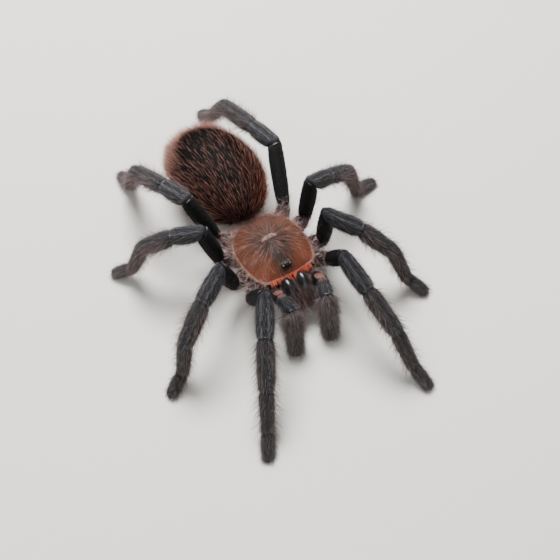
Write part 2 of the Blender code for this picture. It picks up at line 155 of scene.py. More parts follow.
EYE_SPREAD, EYE_SIZE = 0.95, 0.92  # as the lenses sit in the mound
TUFTS_PER_SIDE, TUFT_START, TUFT_STEP = 10, 0.4, 0.56  # of the brow fringe
FRINGE_SETBACK = 0.3  # from the front edge of the shield
BROW_CORNER = (4.1, -9.2, 8.6)  # where the longest jaw hair starts
CORE_RADII, CORE_HEIGHT = (7.4, 8.8, 2.8), 6.2
# The wall under the shield's rim: shares of the rim, and heights
SEAT_RINGS = ((0.5, 6.4), (0.9, 6.6), (0.93, 8.0), (0.93, 9.2), (0.9, 9.45), (0.5, 9.5))
WAIST = ((0.0, 5.5, 7.0), (0.3, 11.5, 8.6))
WAIST_RADII = (1.5, 1.3)
ABDOMEN_MIDDLE = np.array((-1.2, 25.9, 11.7))
ABDOMEN_RADII = (12.5, 16.1, 10.5)
ABDOMEN_COAT = 1.3
ABDOMEN_TURN, ABDOMEN_LIFT, ABDOMEN_EGG = 9, 6, 0.01
SPINNERET_PATH = ((1.2, -3.5), (1.6, -2.2), (2.2, 0.6), (2.7, 2.6), (3.0, 4.1))
SPINNERET_ROOT = (0.0, 14.2, -5.2)
SPINNERET_RADII = (0.9, 0.9, 0.8, 0.62, 0.3)

low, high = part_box("carapace")
SHIELD_MIDDLE = (SHIELD_REAR - SHIELD_FRONT - SHIELD_FRONT_BULGE) / 2
# Where x = y = 0 lies in the frame, in millimetres
HOME = np.array([(low[0] + high[0]) / 2 / MM, (low[1] + high[1]) / 2 / MM - SHIELD_MIDDLE, 0.0])


# Colours and finishes

def colour(code):
    """An sRGB hex code as linear red, green, blue and alpha."""
    value = np.array([int(code[i:i + 2], 16) for i in (1, 3, 5)]) / 255
    linear = np.where(value <= 0.04045, value / 12.92, ((value + 0.055) / 1.055) ** 2.4)
    return (*linear.tolist(), 1.0)


def add(tree, kind, inputs=None, ramp=None, **settings):
    """Adds a node, sets what it is told, and fills each input with a value or links it from a socket."""
    made = tree.nodes.new(kind)
    for name, value in settings.items():
        setattr(made, name, value)
    if ramp:
        stops = made.color_ramp.elements
        while len(stops) < len(ramp):
            stops.new(1.0)
        for stop, (place, code) in zip(stops, ramp):
            stop.position, stop.color = place, colour(code)
    for key, value in (inputs or {}).items():
        if isinstance(value, bpy.types.NodeSocket):
            tree.links.new(value, made.inputs[key])
        else:
            made.inputs[key].default_value = value
    return made


def finish(name, **constants):
    """A new material and its shader, with the constants set on the shader's own sockets."""
    material = bpy.data.materials.new(name)
    material.use_nodes = True
    shader = material.node_tree.nodes["Principled BSDF"]
    for socket, value in constants.items():
        shader.inputs[socket.replace("_", " ")].default_value = value
    return material, material.node_tree, shader


def grown_hair(name, roots, tips, reach=0.9, depth=0.55, **constants):
    """Hair as it grew: each has its root's colour and its tip's, and its own depth of colour.

    The zone attribute picks both colours along two ramps, the along attribute blends them from root
    to tip, and the tint attribute darkens or lightens the whole hair. It reads as fine streaks.
    """
    material, tree, shader = finish(name, **constants)
    zone, along, tint = (add(tree, "ShaderNodeAttribute", attribute_name=key).outputs["Fac"]
                         for key in ("zone", "along", "tint"))
    root, tip = (add(tree, "ShaderNodeValToRGB", {"Fac": zone}, ramp=ramp).outputs["Color"]
                 for ramp in (roots, tips))
    blend = add(tree, "ShaderNodeMath", {0: along, 1: reach}, operation="POWER").outputs[0]
    mixed = add(tree, "ShaderNodeMix", {"Factor": blend, "A": root, "B": tip}, data_type="RGBA")
    spread = add(tree, "ShaderNodeMath", {0: tint, 1: 2 * depth, 2: 1 - depth}, operation="MULTIPLY_ADD")
    tinted = {"Color": mixed.outputs["Result"], "Value": spread.outputs[0]}
    graded = add(tree, "ShaderNodeHueSaturation", tinted)
    tree.links.new(graded.outputs["Color"], shader.inputs["Base Color"])
    return material


def patterned(name, ramp, by=None, mottle=None, shades=None, relief=None, **constants):
    """A finish whose colour runs along a ramp.

    The place on the ramp is the piece's own attribute where by names one, or else the mottle: noise
    of a size in millimetres and a detail. With shades the mottle also darkens and lightens the colour
    between those two values. Relief is a bump: its strength, its depth in millimetres, and the kind,
    the output and the inputs of its pattern, or None where it follows the mottle.
    """
    material, tree, shader = finish(name, **constants)
    if mottle:
        size, detail = mottle
        place = add(tree, "ShaderNodeTexCoord").outputs["Object"]
        noise = add(tree, "ShaderNodeTexNoise", {"Vector": place, "Scale": 1 / (size * MM), "Detail": detail})
        noise = noise.outputs["Fac"]
    along = add(tree, "ShaderNodeAttribute", attribute_name=by).outputs["Fac"] if by else noise
    ground = add(tree, "ShaderNodeValToRGB", {"Fac": along}, ramp=ramp).outputs["Color"]
    if shades:
        value = add(tree, "ShaderNodeMapRange", {"Value": noise, "To Min": shades[0], "To Max": shades[1]})
        graded = add(tree, "ShaderNodeHueSaturation", {"Color": ground, "Value": value.outputs[0]})
        ground = graded.outputs["Color"]
    tree.links.new(ground, shader.inputs["Base Color"])
    if relief:
        strength, depth, pattern = relief
        if pattern:
            kind, output, inputs = pattern
            noise = add(tree, kind, {"Vector": place, **inputs}).outputs[output]
        bump = add(tree, "ShaderNodeBump", {"Height": noise, "Strength": strength, "Distance": depth * MM})
        tree.links.new(bump.outputs["Normal"], shader.inputs["Normal"])
    return material


def make_finishes():
    """Every material of the model, by the name of what it is."""
    return {
        # Tarantula hide: dry skin, fine leathery grain about 0.15 mm, matt. It shows as the dark ground
        # between hairs: black on the femora and the abdomen, charcoal further out, brown at the hips.
        "hide": patterned(
            "dried_hide",
            ((0.0, "#070606"), (0.2, "#131316"), (0.4, "#141213"), (0.6, "#110F0F"), (0.8, "#2C1C18")),
            by="zone", mottle=(1.6, 2.0), shades=(0.7, 1.3),
            relief=(0.5, 0.05, ("ShaderNodeTexNoise", "Fac", {"Scale": 1 / (0.15 * MM), "Detail": 3.0})),
            Roughness=0.7, Specular_IOR_Level=0.2,
        ),
        # Shield horn: chitin hardened in the air, rust-orange, satin, with pores about 0.2 mm apart. It
        # is grey-brown over the head. It is painted pale as a highlight in the fold behind the fovea and on
        # the rim.
        "shield": patterned(
            "rust_chitin",
            ((0.0, "#120E0D"), (0.3, "#261712"), (0.6, "#562A16"), (0.75, "#6A3219"), (1.0, "#B98A76")),
            by="zone", mottle=(1.1, 4.0), shades=(0.6, 1.35),
            relief=(0.4, 0.04, ("ShaderNodeTexVoronoi", "Distance", {"Scale": 1 / (0.2 * MM)})),
            Roughness=0.62, Specular_IOR_Level=0.25,
        ),
        # Jaw horn: thick black chitin, smooth with a slate sheen, faintly uneven
        "jaw": patterned(
            "black_chitin", ((0.3, "#050506"), (0.75, "#101217")), mottle=(0.8, 3.0),
            relief=(0.3, 0.05, None), Roughness=0.3, Specular_IOR_Level=0.5, Coat_Weight=0.2,
        ),
        # Fang and claw horn: polished by use, black with a dark red glow where it thins to the point
        "fang": patterned(
            "polished_horn", ((0.0, "#0A0808"), (0.7, "#120A09"), (1.0, "#3A1410")), by="along",
            Roughness=0.16, Coat_Weight=0.3,
        ),
        # Lenses: clear cuticle over a dark or a bronze ground, wet-looking
        "lens": patterned(
            "clear_lens", ((0.0, "#0A0806"), (1.0, "#4C4030")), by="zone",
            Roughness=0.06, Coat_Weight=1.0, Coat_Roughness=0.03,
        ),
        # Joint rim: thin uncoloured chitin, ivory, satin
        "rim": patterned(
            "pale_chitin", ((0.3, "#5E5752"), (0.7, "#C4BAB0")), mottle=(0.5, 2.0), Roughness=0.45,
        ),
        # Limb hair, combed by walking. Zones: femur 0, patella 0.15, its stripes 0.3, tibia and metatarsus
        # 0.45, foot 0.6, long whiskers 0.8, the palps' salmon patch 0.9, hip fluff 1. Velvet black, then
        # charcoals with grey streaks, beige whiskers, salmon and pinkish white. The blue tint in the
        # patella's charcoal (0.15) and in its grey stripes (0.3) is a painted sheen.
        "limb_hair": grown_hair(
            "combed_limb_hair",
            ((0.0, "#020202"), (0.15, "#101013"), (0.3, "#2C2C31"), (0.45, "#161415"), (0.6, "#191615"),
             (0.8, "#1E1A1B"), (0.9, "#522C24"), (1.0, "#54403C")),
            ((0.0, "#070607"), (0.15, "#2C2C31"), (0.3, "#8C8C94"), (0.45, "#484647"), (0.6, "#453F3E"),
             (0.8, "#8C8485"), (0.9, "#BC7C6A"), (1.0, "#E6CCC8")),
            Roughness=0.6, Specular_IOR_Level=0.22, Sheen_Weight=0.04, Sheen_Roughness=0.4,
        ),
        # Abdomen velvet, grown short and dense: charcoal black that swallows light
        "velvet": grown_hair(
            "abdomen_velvet", ((0.0, "#050303"), (1.0, "#2E1712")), ((0.0, "#100B0A"), (1.0, "#6E3E30")),
            Roughness=0.95, Specular_IOR_Level=0.05,
        ),
        # Long abdomen hair, streaming to the rear: thin salmon lines on the back (0), orange-brown on
        # the flanks (0.5), greyer pink in the rim fringe (1)
        "long_hair": grown_hair(
            "streaming_salmon_hair",
            ((0.0, "#0B0605"), (0.5, "#30140B"), (1.0, "#6A463C")),
            ((0.0, "#B4867A"), (0.5, "#B05C34"), (1.0, "#C4988C")),
            reach=1.3, depth=0.5, Roughness=0.5, Specular_IOR_Level=0.25,
        ),
        # Shield down, brushed outward from the fovea. Zones: head grey-brown 0, sides orange 0.5, fovea
        # and rim pale 1. The pale on the fold behind the fovea is a painted highlight, and towards the rear
        # the down is darker as painted shade.
        "down": grown_hair(
            "brushed_golden_down",
            ((0.0, "#14100F"), (0.5, "#3C1C10"), (1.0, "#4A3028")),
            ((0.0, "#54443E"), (0.5, "#7E4429"), (1.0, "#D2B0A4")),
            depth=0.75, Roughness=0.5, Specular_IOR_Level=0.35, Sheen_Weight=0.1,
        ),
        # Brow fringe: stout bristles in one row, orange-red with cream tips
        "fringe": grown_hair(
            "brow_bristle", ((0.0, "#86200A"), (1.0, "#AC3010")), ((0.0, "#D0603C"), (1.0, "#EAA084")),
            reach=2.8, depth=0.3, Roughness=0.45, Specular_IOR_Level=0.4,
        ),
        # Jaw hair: long, loose, pinkish brown over black roots
        "jaw_hair": grown_hair(
            "trailing_jaw_hair", ((0.0, "#070505"), (1.0, "#2A1814")), ((0.0, "#2C2527"), (1.0, "#BE9A92")),
            Roughness=0.5, Specular_IOR_Level=0.35,
        ),
    }


# Meshes

def show(name, data):
    """A new object in the scene, holding a mesh, a lamp or a camera."""
    made = bpy.data.objects.new(name, data)
    bpy.context.scene.collection.objects.link(made)
    return made


def new_piece(name, points, faces, material, values=None, patch=None, scale=MM):
    """One finished object from millimetre points and triangles or quads, with attributes and OFBake.

    The faces are arrays of point numbers. Values are one number for each point, kept under their
    names. Patch is the place of each point on the OFBake unwrap.
    """
    mesh = bpy.data.meshes.new(name)
    mesh.vertices.add(len(points))
    mesh.vertices.foreach_set("co", ((points + HOME) * scale).astype(np.float32).ravel())
    corners = np.concatenate([group.ravel() for group in faces])
    sizes = np.concatenate([np.full(len(group), group.shape[1]) for group in faces])
    mesh.loops.add(len(corners))
    mesh.loops.foreach_set("vertex_index", corners.astype(np.int32))
    mesh.polygons.add(len(sizes))
    mesh.polygons.foreach_set("loop_start", (np.cumsum(sizes) - sizes).astype(np.int32))
    mesh.update(calc_edges=True)
    for key, numbers in (values or {}).items():
        mesh.attributes.new(key, "FLOAT", "POINT").data.foreach_set("value", numbers.astype(np.float32))
    if patch is not None:
        layer = mesh.uv_layers.new(name="OFBake")
        layer.data.foreach_set("uv", patch[corners].astype(np.float32).ravel())
    mesh.shade_smooth()
    mesh.materials.append(material)
    return show(name, mesh)


def grid_faces(rows, around):
    """Quads between rows of points that close round.

    They face out when the points of a row turn left about the way the rows go.
    """
    row, column = np.meshgrid(np.arange(rows - 1), np.arange(around), indexing="ij")
    near, ahead = row * around + column, row * around + (column + 1) % around
    return np.stack([near, ahead, ahead + around, near + around], axis=-1).reshape(-1, 4)


def tube_faces(rows, around):
    """The quads of a tube and the triangles that close it on its two pole points, numbered last."""
    count = rows * around
    turn = np.arange(around)
    ahead = (turn + 1) % around
    first = np.column_stack([ahead, turn, np.full(around, count)])
    last = np.column_stack([turn + count - around, ahead + count - around, np.full(around, count + 1)])
    return [grid_faces(rows, around), np.concatenate([first, last])]


def tube_points(rings):
    """Rings of points as one list, with the two poles after them."""
    return np.concatenate([rings.reshape(-1, 3), rings[:1].mean(axis=1), rings[-1:].mean(axis=1)])


def smooth_run(values, place):
    """A smooth curve through evenly spaced values (rows), read at places from 0 to 1: Catmull-Rom."""
    values = np.asarray(values, float)
    count = len(values) - 1
    place = np.clip(np.asarray(place, float), 0, 1) * count
    step = np.minimum(place.astype(int), count - 1)
    t = place - step
    before, near, far, after = (values[np.clip(step + k, 0, count)] for k in (-1, 0, 1, 2))
    if values.ndim > 1:
        t = t[..., None]
    return 0.5 * (2 * near + (far - before) * t + (2 * before - 5 * near + 4 * far - after) * t**2
                  + (3 * near - before - 3 * far + after) * t**3)


def unit(vectors):
    return vectors / np.maximum(np.linalg.norm(vectors, axis=-1, keepdims=True), 1e-9)


def dot(a, b):
    return (a * b).sum(axis=-1, keepdims=True)


def square_to(vector, way):
    """The direction nearest to a vector that is square to a way."""
    return unit(vector - dot(vector, way) * way)


def onset(value, start, width):
    """0 up to the start, then a straight rise to 1 over the width."""
    return np.clip((value - start) / width, 0, 1)


def fading(value, end, width):
    """1, then a straight fall over the width that reaches 0 at the end."""
    return np.clip((end - value) / width, 0, 1)


def bell(value, middle, width):
    """A bell curve: 1 at the middle and 1/e at the width from it."""
    return np.exp(-(((value - middle) / width) ** 2))


def turned(first, second, angle):
    """A direction turned by an angle from the first towards the second: first cos + second sin."""
    return first * np.cos(angle)[:, None] + second * np.sin(angle)[:, None]


def ring_angles(around):
    return np.arange(around) * 2 * math.pi / around


def spokes(first, second, angles):
    """For each pair of directions, the directions at all the angles from the first towards the second."""
    return first[:, None] * np.cos(angles)[None, :, None] + second[:, None] * np.sin(angles)[None, :, None]


def crowding(start, reach, count):
    """Shares that run from the start over the reach and crowd towards its end, as a rounded tip needs."""
    return start + reach * np.sin(np.linspace(0, 1, count) * math.pi / 2)


# Limbs

def heading(side, bearing, pitch):
    """Unit vector for a bearing and a pitch on the left (+1) or right (-1) side."""
    b, p = math.radians(bearing), math.radians(pitch)
    return np.array([side * math.cos(p) * math.cos(b), -math.cos(p) * math.sin(b), math.sin(p)])


def leg_line(name, pair):
    """Joints of one leg from its root under the shield to its toe."""
    side = SIDES[name]
    bearings, pitches, slope = STANCE[name, pair]
    lengths = LEG_LENGTHS[pair]
    x, y = HIPS[pair]
    places = [np.array([side * x * COXA_ROOT_SHARE, y * COXA_ROOT_SHARE, COXA_ROOT_HEIGHT]),
              np.array([side * x, y, HIP_HEIGHT])]
    for bearing, pitch, length in zip((*bearings[:2], bearings[1]), pitches, lengths):
        places.append(places[-1] + heading(side, bearing, pitch) * length)
    drop = places[-1][2] - TOE_HEIGHT - lengths[4] * math.sin(math.radians(slope))
    steepness = math.degrees(math.asin(drop / lengths[3]))
    for pitch, length in zip((-steepness, -slope), lengths[3:]):
        places.append(places[-1] + heading(side, bearings[2], pitch) * length)
    return np.array(places)


def palp_line(name):
    """The same for a palp."""
    side = SIDES[name]
    bearings, pitches = PALP_STANCE[name]
    places = [np.array([side * x, y, z]) for x, y, z in (PALP_COXA_ROOT, PALP_HIP)]
    for bearing, pitch, length in zip(bearings, pitches, PALP_LENGTHS):
        places.append(places[-1] + heading(side, bearing, pitch) * length)
    steepness = math.degrees(math.asin((places[-1][2] - PALP_TOE_HEIGHT) / PALP_LENGTHS[3]))
    places.append(places[-1] + heading(side, bearings[2], -steepness) * PALP_LENGTHS[3])
    return np.array(places)


def make_limb(joints, segments, radii):
    """A limb's joints, headings, dorsal and sideways directions, bend planes and radii."""
    steps = np.diff(joints, axis=0)
    lengths = np.linalg.norm(steps, axis=1)
    along = steps / lengths[:, None]
    dorsal = square_to(UP, along)
    ends = np.concatenate([along[:1], along, along[-1:]])
    return {
        "joints": joints, "lengths": lengths, "along": along, "dorsal": dorsal,
        "across": np.cross(dorsal, along), "mitres": unit(ends[:-1] + ends[1:]),
        "segments": segments, "radii": np.array([radii[name] for name in segments]),
    }


def limb_place(limb, segment, share, around, grow=0.0):
    """Points of a limb's hide.

    At a share of a segment, the point at an angle is centre + r (across cos + dorsal sin), slid along
    the segment so that it meets the plane that halves the bend at each end. The slide fades over
    about one radius. The radius draws in at each joint, and rounds off at the toe.
    """
    length = limb["lengths"][segment]
    along = limb["along"][segment]
    radius = np.empty(len(share))
    for number, radii in enumerate(limb["radii"]):
        here = segment == number
        radius[here] = smooth_run(radii, share[here])
    near, far = share * length, (1 - share) * length
    last = segment == len(limb["segments"]) - 1
    far_notch = np.where(last, 0.0, bell(far, 0, JOINT_NOTCH_WIDTH))
    radius = radius - JOINT_NOTCH * (bell(near, 0, JOINT_NOTCH_WIDTH) + far_notch)
    toe = np.where(last, onset(share, TOE_START, TOE_REACH), 0.0)
    radius = (radius + grow) * np.sqrt(np.maximum(1 - toe**2, 0.0))
    offset = turned(limb["across"][segment], limb["dorsal"][segment], around) * radius[:, None]
    slide = np.zeros((len(share), 1))
    for mitre, distance in ((limb["mitres"][segment], near), (limb["mitres"][segment + 1], far)):
        fade = bell(distance, 0, 1.15 * radius + 0.3)[:, None]
        slide -= dot(offset, mitre) / dot(along, mitre) * fade
    return limb["joints"][segment] + along * (near[:, None] + slide) + offset


def limb_tube(limb, around=24, step=0.5):
    """Rings all along a limb, averaged where two segments share a joint, with a zone for each point."""
    rings, zones = [], []
    for number, (segment, length) in enumerate(zip(limb["segments"], limb["lengths"])):
        shares = np.linspace(0, 1, max(int(length / step), 6) + 1)
        if number == len(limb["segments"]) - 1:
            shares = np.concatenate([shares[shares < TOE_START], crowding(TOE_START, TOE_REACH, 6)[:-1]])
        share, angle = np.repeat(shares, around), np.tile(ring_angles(around), len(shares))
        points = limb_place(limb, np.full(len(share), number), share, angle).reshape(-1, around, 3)
        if rings:
            rings[-1][-1] = (rings[-1][-1] + points[0]) / 2
            points = points[1:]
        rings.append(points)
        zones.append(np.full(len(points), HIDE_ZONES[segment]))
    rings = np.concatenate(rings)
    rings[..., 2] = np.maximum(rings[..., 2], PAD_HEIGHT)
    zones = np.repeat(np.concatenate(zones), around)
    return tube_points(rings), tube_faces(len(rings), around), np.concatenate([zones, zones[:1], zones[-1:]])


HIDE_ZONES = {"coxa": 0.8, "femur": 0.0, "patella": 0.2, "tibia": 0.4, "metatarsus": 0.4, "tarsus": 0.6}
LIMBS = {}
for side_name in SIDES:
    for pair_number in LEG_LENGTHS:
        LIMBS[side_name, pair_number] = make_limb(leg_line(side_name, pair_number), LEG_SEGMENTS, LEG_HIDE)
    LIMBS[side_name, "palp"] = make_limb(palp_line(side_name), PALP_SEGMENTS, PALP_HIDE)


# Shield

def shield_outline(count=240):
    """The rim from above at even steps: superellipse rear and sides, and an almost straight front."""
    power = 2 / SHIELD_ROUNDNESS
    angle = np.linspace(0, math.pi / 2, 60)
    side = np.sin(np.linspace(0, math.pi / 2, 60))[1:]
    front = np.linspace(1, 0, 30)[1:]
    narrowing = SHIELD_HALF_WIDTH - SHIELD_FRONT_HALF_WIDTH
    left = np.concatenate([
        np.column_stack([SHIELD_HALF_WIDTH * np.sin(angle) ** power, SHIELD_REAR * np.cos(angle) ** power]),
        np.column_stack([
            SHIELD_FRONT_HALF_WIDTH + narrowing * np.sqrt(1 - side**SHIELD_ROUNDNESS), -SHIELD_FRONT * side,
        ]),
        np.column_stack([
            SHIELD_FRONT_HALF_WIDTH * front, -SHIELD_FRONT - SHIELD_FRONT_BULGE * (1 - front**2),
        ]),
    ])
    loop = np.concatenate([left, left[-2::-1] * (-1, 1)])
    distance = np.concatenate([[0], np.cumsum(np.linalg.norm(np.diff(loop, axis=0), axis=1))])
    even = np.linspace(0, distance[-1], count, endpoint=False)
    outline = np.column_stack([np.interp(even, distance, loop[:, 0]), np.interp(even, distance, loop[:, 1])])
    for _ in range(6):  # rounds the front corners a little
        outline = (np.roll(outline, 1, axis=0) + 2 * outline + np.roll(outline, -1, axis=0)) / 4
    return outline


OUTLINE = shield_outline()


def shield_top(x, y, share):
    """Height of the shield: dome + raised head - fovea pit - furrows that fan out from the fovea + lip."""
    rim = RIM_HEIGHT - RIM_SLOPE * y + RIM_THICKNESS - SHIELD_COAT
    dome = DOME_RISE * (1 - share**2.4)
    head = HEAD_RISE * np.exp(-(((y - HEAD_MIDDLE) / HEAD_LENGTH) ** 2) - (x / HEAD_WIDTH) ** 2)
    behind = y - FOVEA_MIDDLE - FOVEA_CURVE * x**2
    pit = FOVEA_DEPTH * np.exp(-((x / FOVEA_HALF_WIDTH) ** 2) - (behind / FOVEA_HALF_LENGTH) ** 2)
    away = np.hypot(x, y - FOVEA_MIDDLE)
    bearing = np.abs(np.degrees(np.arctan2(x, FOVEA_MIDDLE - y)))
    furrow = sum(depth * bell(bearing, middle, FURROW_WIDTH) for middle, depth in FURROWS)
    furrow = furrow * onset(away, 0, 2.5) * fading(share, 1, 0.25)
    lip = 0.16 * bell(share, 0.985, 0.02)
    return rim + dome + (head - pit) * (1 - share**2) - furrow + lip


def shield_place(share, turn):
    """A point of the shield's top: a share of the way from the middle to the rim, at a turn from 0 to 1."""
    loop = np.concatenate([OUTLINE, OUTLINE[:1]])
    place = (turn % 1.0) * len(OUTLINE)
    number = np.arange(len(loop))
    x = np.interp(place, number, loop[:, 0]) * share
    y = np.interp(place, number, loop[:, 1]) * share
    return np.column_stack([x, y, shield_top(x, y, share)])


def shield_zone(points):
    """Where the shield is dark (0), brown (0.3) or rust (0.65).

    The head's ridge is darkest, the middle is brown, and rust begins about half way out to the rim.
    Faint rays fan out from the fovea, whose rear fold is painted pale (1) as a highlight.
    """
    x, y = points[:, 0], points[:, 1]
    away = np.hypot(x / SHIELD_HALF_WIDTH, (y - FOVEA_MIDDLE) / SHIELD_REAR)
    rust = onset(away, 0.38, 0.3) * (1 - 0.45 * onset(y, 4, 4))
    dark = np.exp(-((x / 2.3) ** 2) - ((y + 5.4) / 3.6) ** 2)
    turn = np.arctan2(x, FOVEA_MIDDLE - y)
    bend = 2 * np.sin(3 * away * math.pi)
    rays = np.sin(23 * turn + bend) + np.sin(41 * turn + 5 * away) + np.sin(9 * turn)
    rays = 0.075 * rays * onset(away, 0, 0.2) * fading(away, 1.05, 0.4)
    # The fold behind the fovea, painted pale as a highlight
    behind = y - FOVEA_MIDDLE - FOLD_BEHIND + FOVEA_CURVE * x**2
    fold = np.exp(-((x / 1.5) ** 2) - (behind / 0.24) ** 2)
    return np.clip(0.26 + 0.4 * rust * (1 - dark) - 0.24 * dark + rays + 0.7 * fold, 0, 1)


def make_shield(finishes):
    """The plate: rows of the outline from the middle out, over a rounded rim and back underneath."""
    shares = np.concatenate([np.linspace(0.02, 0.94, 56), [0.955, 0.97, 0.98, 0.99, 1.0]])
    count = len(OUTLINE)
    turn = np.arange(count) / count
    rows = [shield_place(np.full(count, share), turn) for share in shares]
    rim = rows[-1]
    rows += [rim * (share, share, 1) - (0, 0, drop) for share, drop in RIM_TURN]
    rings = np.array(rows)[:, ::-1]
    points = tube_points(rings)
    zone = shield_zone(points)
    # The rim, on its top and round underneath, is painted pale: a painted highlight along the edge
    pale = np.append(onset(shares, 0.968, 0.012), np.ones(len(RIM_TURN)))
    zone[:-2] = zone[:-2] + (1 - zone[:-2]) * np.repeat(pale, count) * 0.75
    shield = new_piece("shield", points, tube_faces(len(rings), count), finishes["shield"], {"zone": zone})
    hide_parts("carapace")
    return [shield]


# Rest of the body

def tilt(turn, lift):
    """The rotation, as a matrix, of a body turned about the vertical and lifted at one end, in degrees."""
    return np.array(Matrix.Rotation(math.radians(turn), 3, "Z") @ Matrix.Rotation(math.radians(lift), 3, "X"))


def egg_place(middle, radii, down, around, turn=0, lift=0, taper=0.0):
    """Points of an egg that lies along Y, at angles down from its front pole and round it.

    Along Y it is -radius cos(down). Across and up it is radius sin(down) times cos or sin(around), and
    swells towards the rear by 1 + taper times -cos(down). Then it is turned, lifted and moved.
    """
    y = -np.cos(down)
    swell = 1 + taper * y
    ball = np.column_stack([radii[0] * np.sin(down) * np.cos(around) * swell, radii[1] * y,
                            radii[2] * np.sin(down) * np.sin(around) * swell])
    return ball @ tilt(turn, lift).T + middle


def abdomen_place(down, around):
    """The abdomen's hide: an egg that is smaller than the abdomen by the depth of its coat."""
    radii = np.array(ABDOMEN_RADII) - ABDOMEN_COAT
    return egg_place(ABDOMEN_MIDDLE, radii, down, around, ABDOMEN_TURN, ABDOMEN_LIFT, ABDOMEN_EGG)


def egg_tube(place, rows, around):
    """Rings of an egg from its front pole to its rear one."""
    down = np.linspace(0, math.pi, rows + 2)[1:-1]
    rings = place(np.repeat(down, around), np.tile(-ring_angles(around), rows)).reshape(rows, around, 3)
    return tube_points(rings), tube_faces(rows, around)


def path_tube(path, radii, rows, around, close=0.12):
    """A round bar along a smooth path: ring = point + r (side cos + up sin), rounded at its far end."""
    share = np.linspace(0, 1, rows)
    middle = smooth_run(path, share)
    cap = np.clip((share - 1 + close) / close, 0, 1) * 0.96
    radius = smooth_run(radii, share) * np.sqrt(np.maximum(1 - cap**2, 0))
    along = unit(np.gradient(middle, axis=0))
    up = square_to(UP, along)
    rings = middle[:, None] + spokes(np.cross(up, along), up, ring_angles(around)) * radius[:, None, None]
    return tube_points(rings), tube_faces(rows, around), np.concatenate([np.repeat(share, around), [0, 1]])


def shield_seat():
    """The soft wall between the shield's rim and the hips, hidden under both."""
    count = 72
    turn = np.arange(count) / count
    rows = []
    for share, height in SEAT_RINGS:
        row = shield_place(np.full(count, share), turn)
        row[:, 2] = height - RIM_SLOPE * row[:, 1]
        rows.append(row)
    return tube_points(np.array(rows)), tube_faces(len(rows), count)


def spinneret_line(side):
    """Middle line of one spinneret under the tail end of the abdomen."""
    pose = tilt(ABDOMEN_TURN, ABDOMEN_LIFT)
    root = ABDOMEN_MIDDLE + pose @ np.array(SPINNERET_ROOT)
    return np.array([root + pose @ np.array([side * across, back, 0.0]) for across, back in SPINNERET_PATH])


def make_hide(finishes):
    """One skin over the front body, waist, abdomen, spinnerets, legs and palps: closed forms united."""
    forms = [limb_tube(limb) for limb in LIMBS.values()]
    body = [
        (HIDE_ZONES["coxa"], ball_mesh((0, 0, CORE_HEIGHT), CORE_RADII, 30, 40)),
        (HIDE_ZONES["coxa"], shield_seat()),
        (HIDE_ZONES["coxa"], path_tube(WAIST, WAIST_RADII, 14, 24)),
        (HIDE_ZONES["femur"], egg_tube(abdomen_place, 70, 72)),
    ]
    for side in SIDES.values():
        body.append((HIDE_ZONES["patella"], path_tube(spinneret_line(side), SPINNERET_RADII, 26, 16)))
    for zone, (points, faces, *_) in body:
        forms.append((points, faces, np.full(len(points), zone)))

    helpers = [new_piece(f"form_{number}", points, faces, finishes["hide"], {"zone": zone}, scale=1.0)
               for number, (points, faces, zone) in enumerate(forms)]
    for form in helpers[1:]:
        modifier = helpers[0].modifiers.new(form.name, "BOOLEAN")
        modifier.operation, modifier.solver, modifier.object = "UNION", "MANIFOLD", form
    bpy.context.view_layer.update()
    mesh = bpy.data.meshes.new_from_object(helpers[0].evaluated_get(bpy.context.evaluated_depsgraph_get()))
    for form in helpers:
        bpy.data.objects.remove(form)
    place = np.empty(len(mesh.vertices) * 3)
    mesh.vertices.foreach_get("co", place)
    mesh.vertices.foreach_set("co", (place * MM).astype(np.float32))
    mesh.update()
    mesh.shade_smooth()
    mesh.name = "hide"
    hide = show("hide", mesh)
    names = [f"{side}_leg_{pair}_{segment}"
             for side in SIDES for pair in LEG_LENGTHS for segment in LEG_SEGMENTS[1:]]
    names += [f"{side}_palp_{segment}" for side in SIDES for segment in PALP_SEGMENTS[1:]]
    names += [f"{side}_spinneret" for side in SIDES]
    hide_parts("thorax", "abdomen", *names)
    return [hide]


def jaw_place(side, share, around):
    """Points of one jaw: ovals along a curve from the shield forward and down, rounded at the front."""
    y, z, width, height = smooth_run(JAW_RINGS, share).T
    cap = np.sqrt(np.maximum(1 - onset(share, JAW_TIP_START, JAW_TIP_REACH) ** 2, 0))
    pinch = 1 - 0.12 * np.maximum(-np.sin(around), 0)
    return np.column_stack([side * (JAW_OFFSET + width * cap * pinch * np.cos(around)), y - 0.25 * (1 - cap),
                            z + height * cap * np.sin(around)])


def make_jaws(finishes):
    """Two black bases and two folded fangs."""
    rows, tip_rows, around = 60, 12, 36
    made = []
    for name, side in SIDES.items():
        tip = crowding(JAW_TIP_START, JAW_TIP_REACH, tip_rows + 1)[1:]
        share = np.concatenate([np.linspace(0, JAW_TIP_START, rows - tip_rows), tip])
        rings = jaw_place(side, np.repeat(share, around), np.tile(side * ring_angles(around), rows))
        rings = rings.reshape(rows, around, 3)
        jaw = new_piece(f"{name}_jaw", tube_points(rings), tube_faces(rows, around), finishes["jaw"])
        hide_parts(f"{name}_chelicera")
        path = np.array(FANG_PATH) * (side, 1, 1)
        points, faces, share = path_tube(path, FANG_RADII, 40, 18, close=0.03)
        fang = new_piece(f"{name}_fang_horn", points, faces, finishes["fang"], {"along": share})
        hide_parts(f"{name}_fang")
        made += [jaw, fang]
    return made


def ball_mesh(middle, radii, rows=14, around=20):
    """A closed ball with its poles on Y: points and faces."""
    return egg_tube(lambda down, turn: egg_place(middle, radii, down, turn), rows, around)


def gather(parts):
    """Joins lists of points, faces and values end to end, renumbering the faces."""
    points, quads, triangles, values, start = [], [], [], [], 0
    for place, faces, value in parts:
        points.append(place)
        for group in faces:
            (quads if group.shape[1] == 4 else triangles).append(group + start)
        values.append(value)
        start += len(place)
    groups = [np.concatenate(group) for group in (quads, triangles) if group]
    return np.concatenate(points), groups, np.concatenate(values)


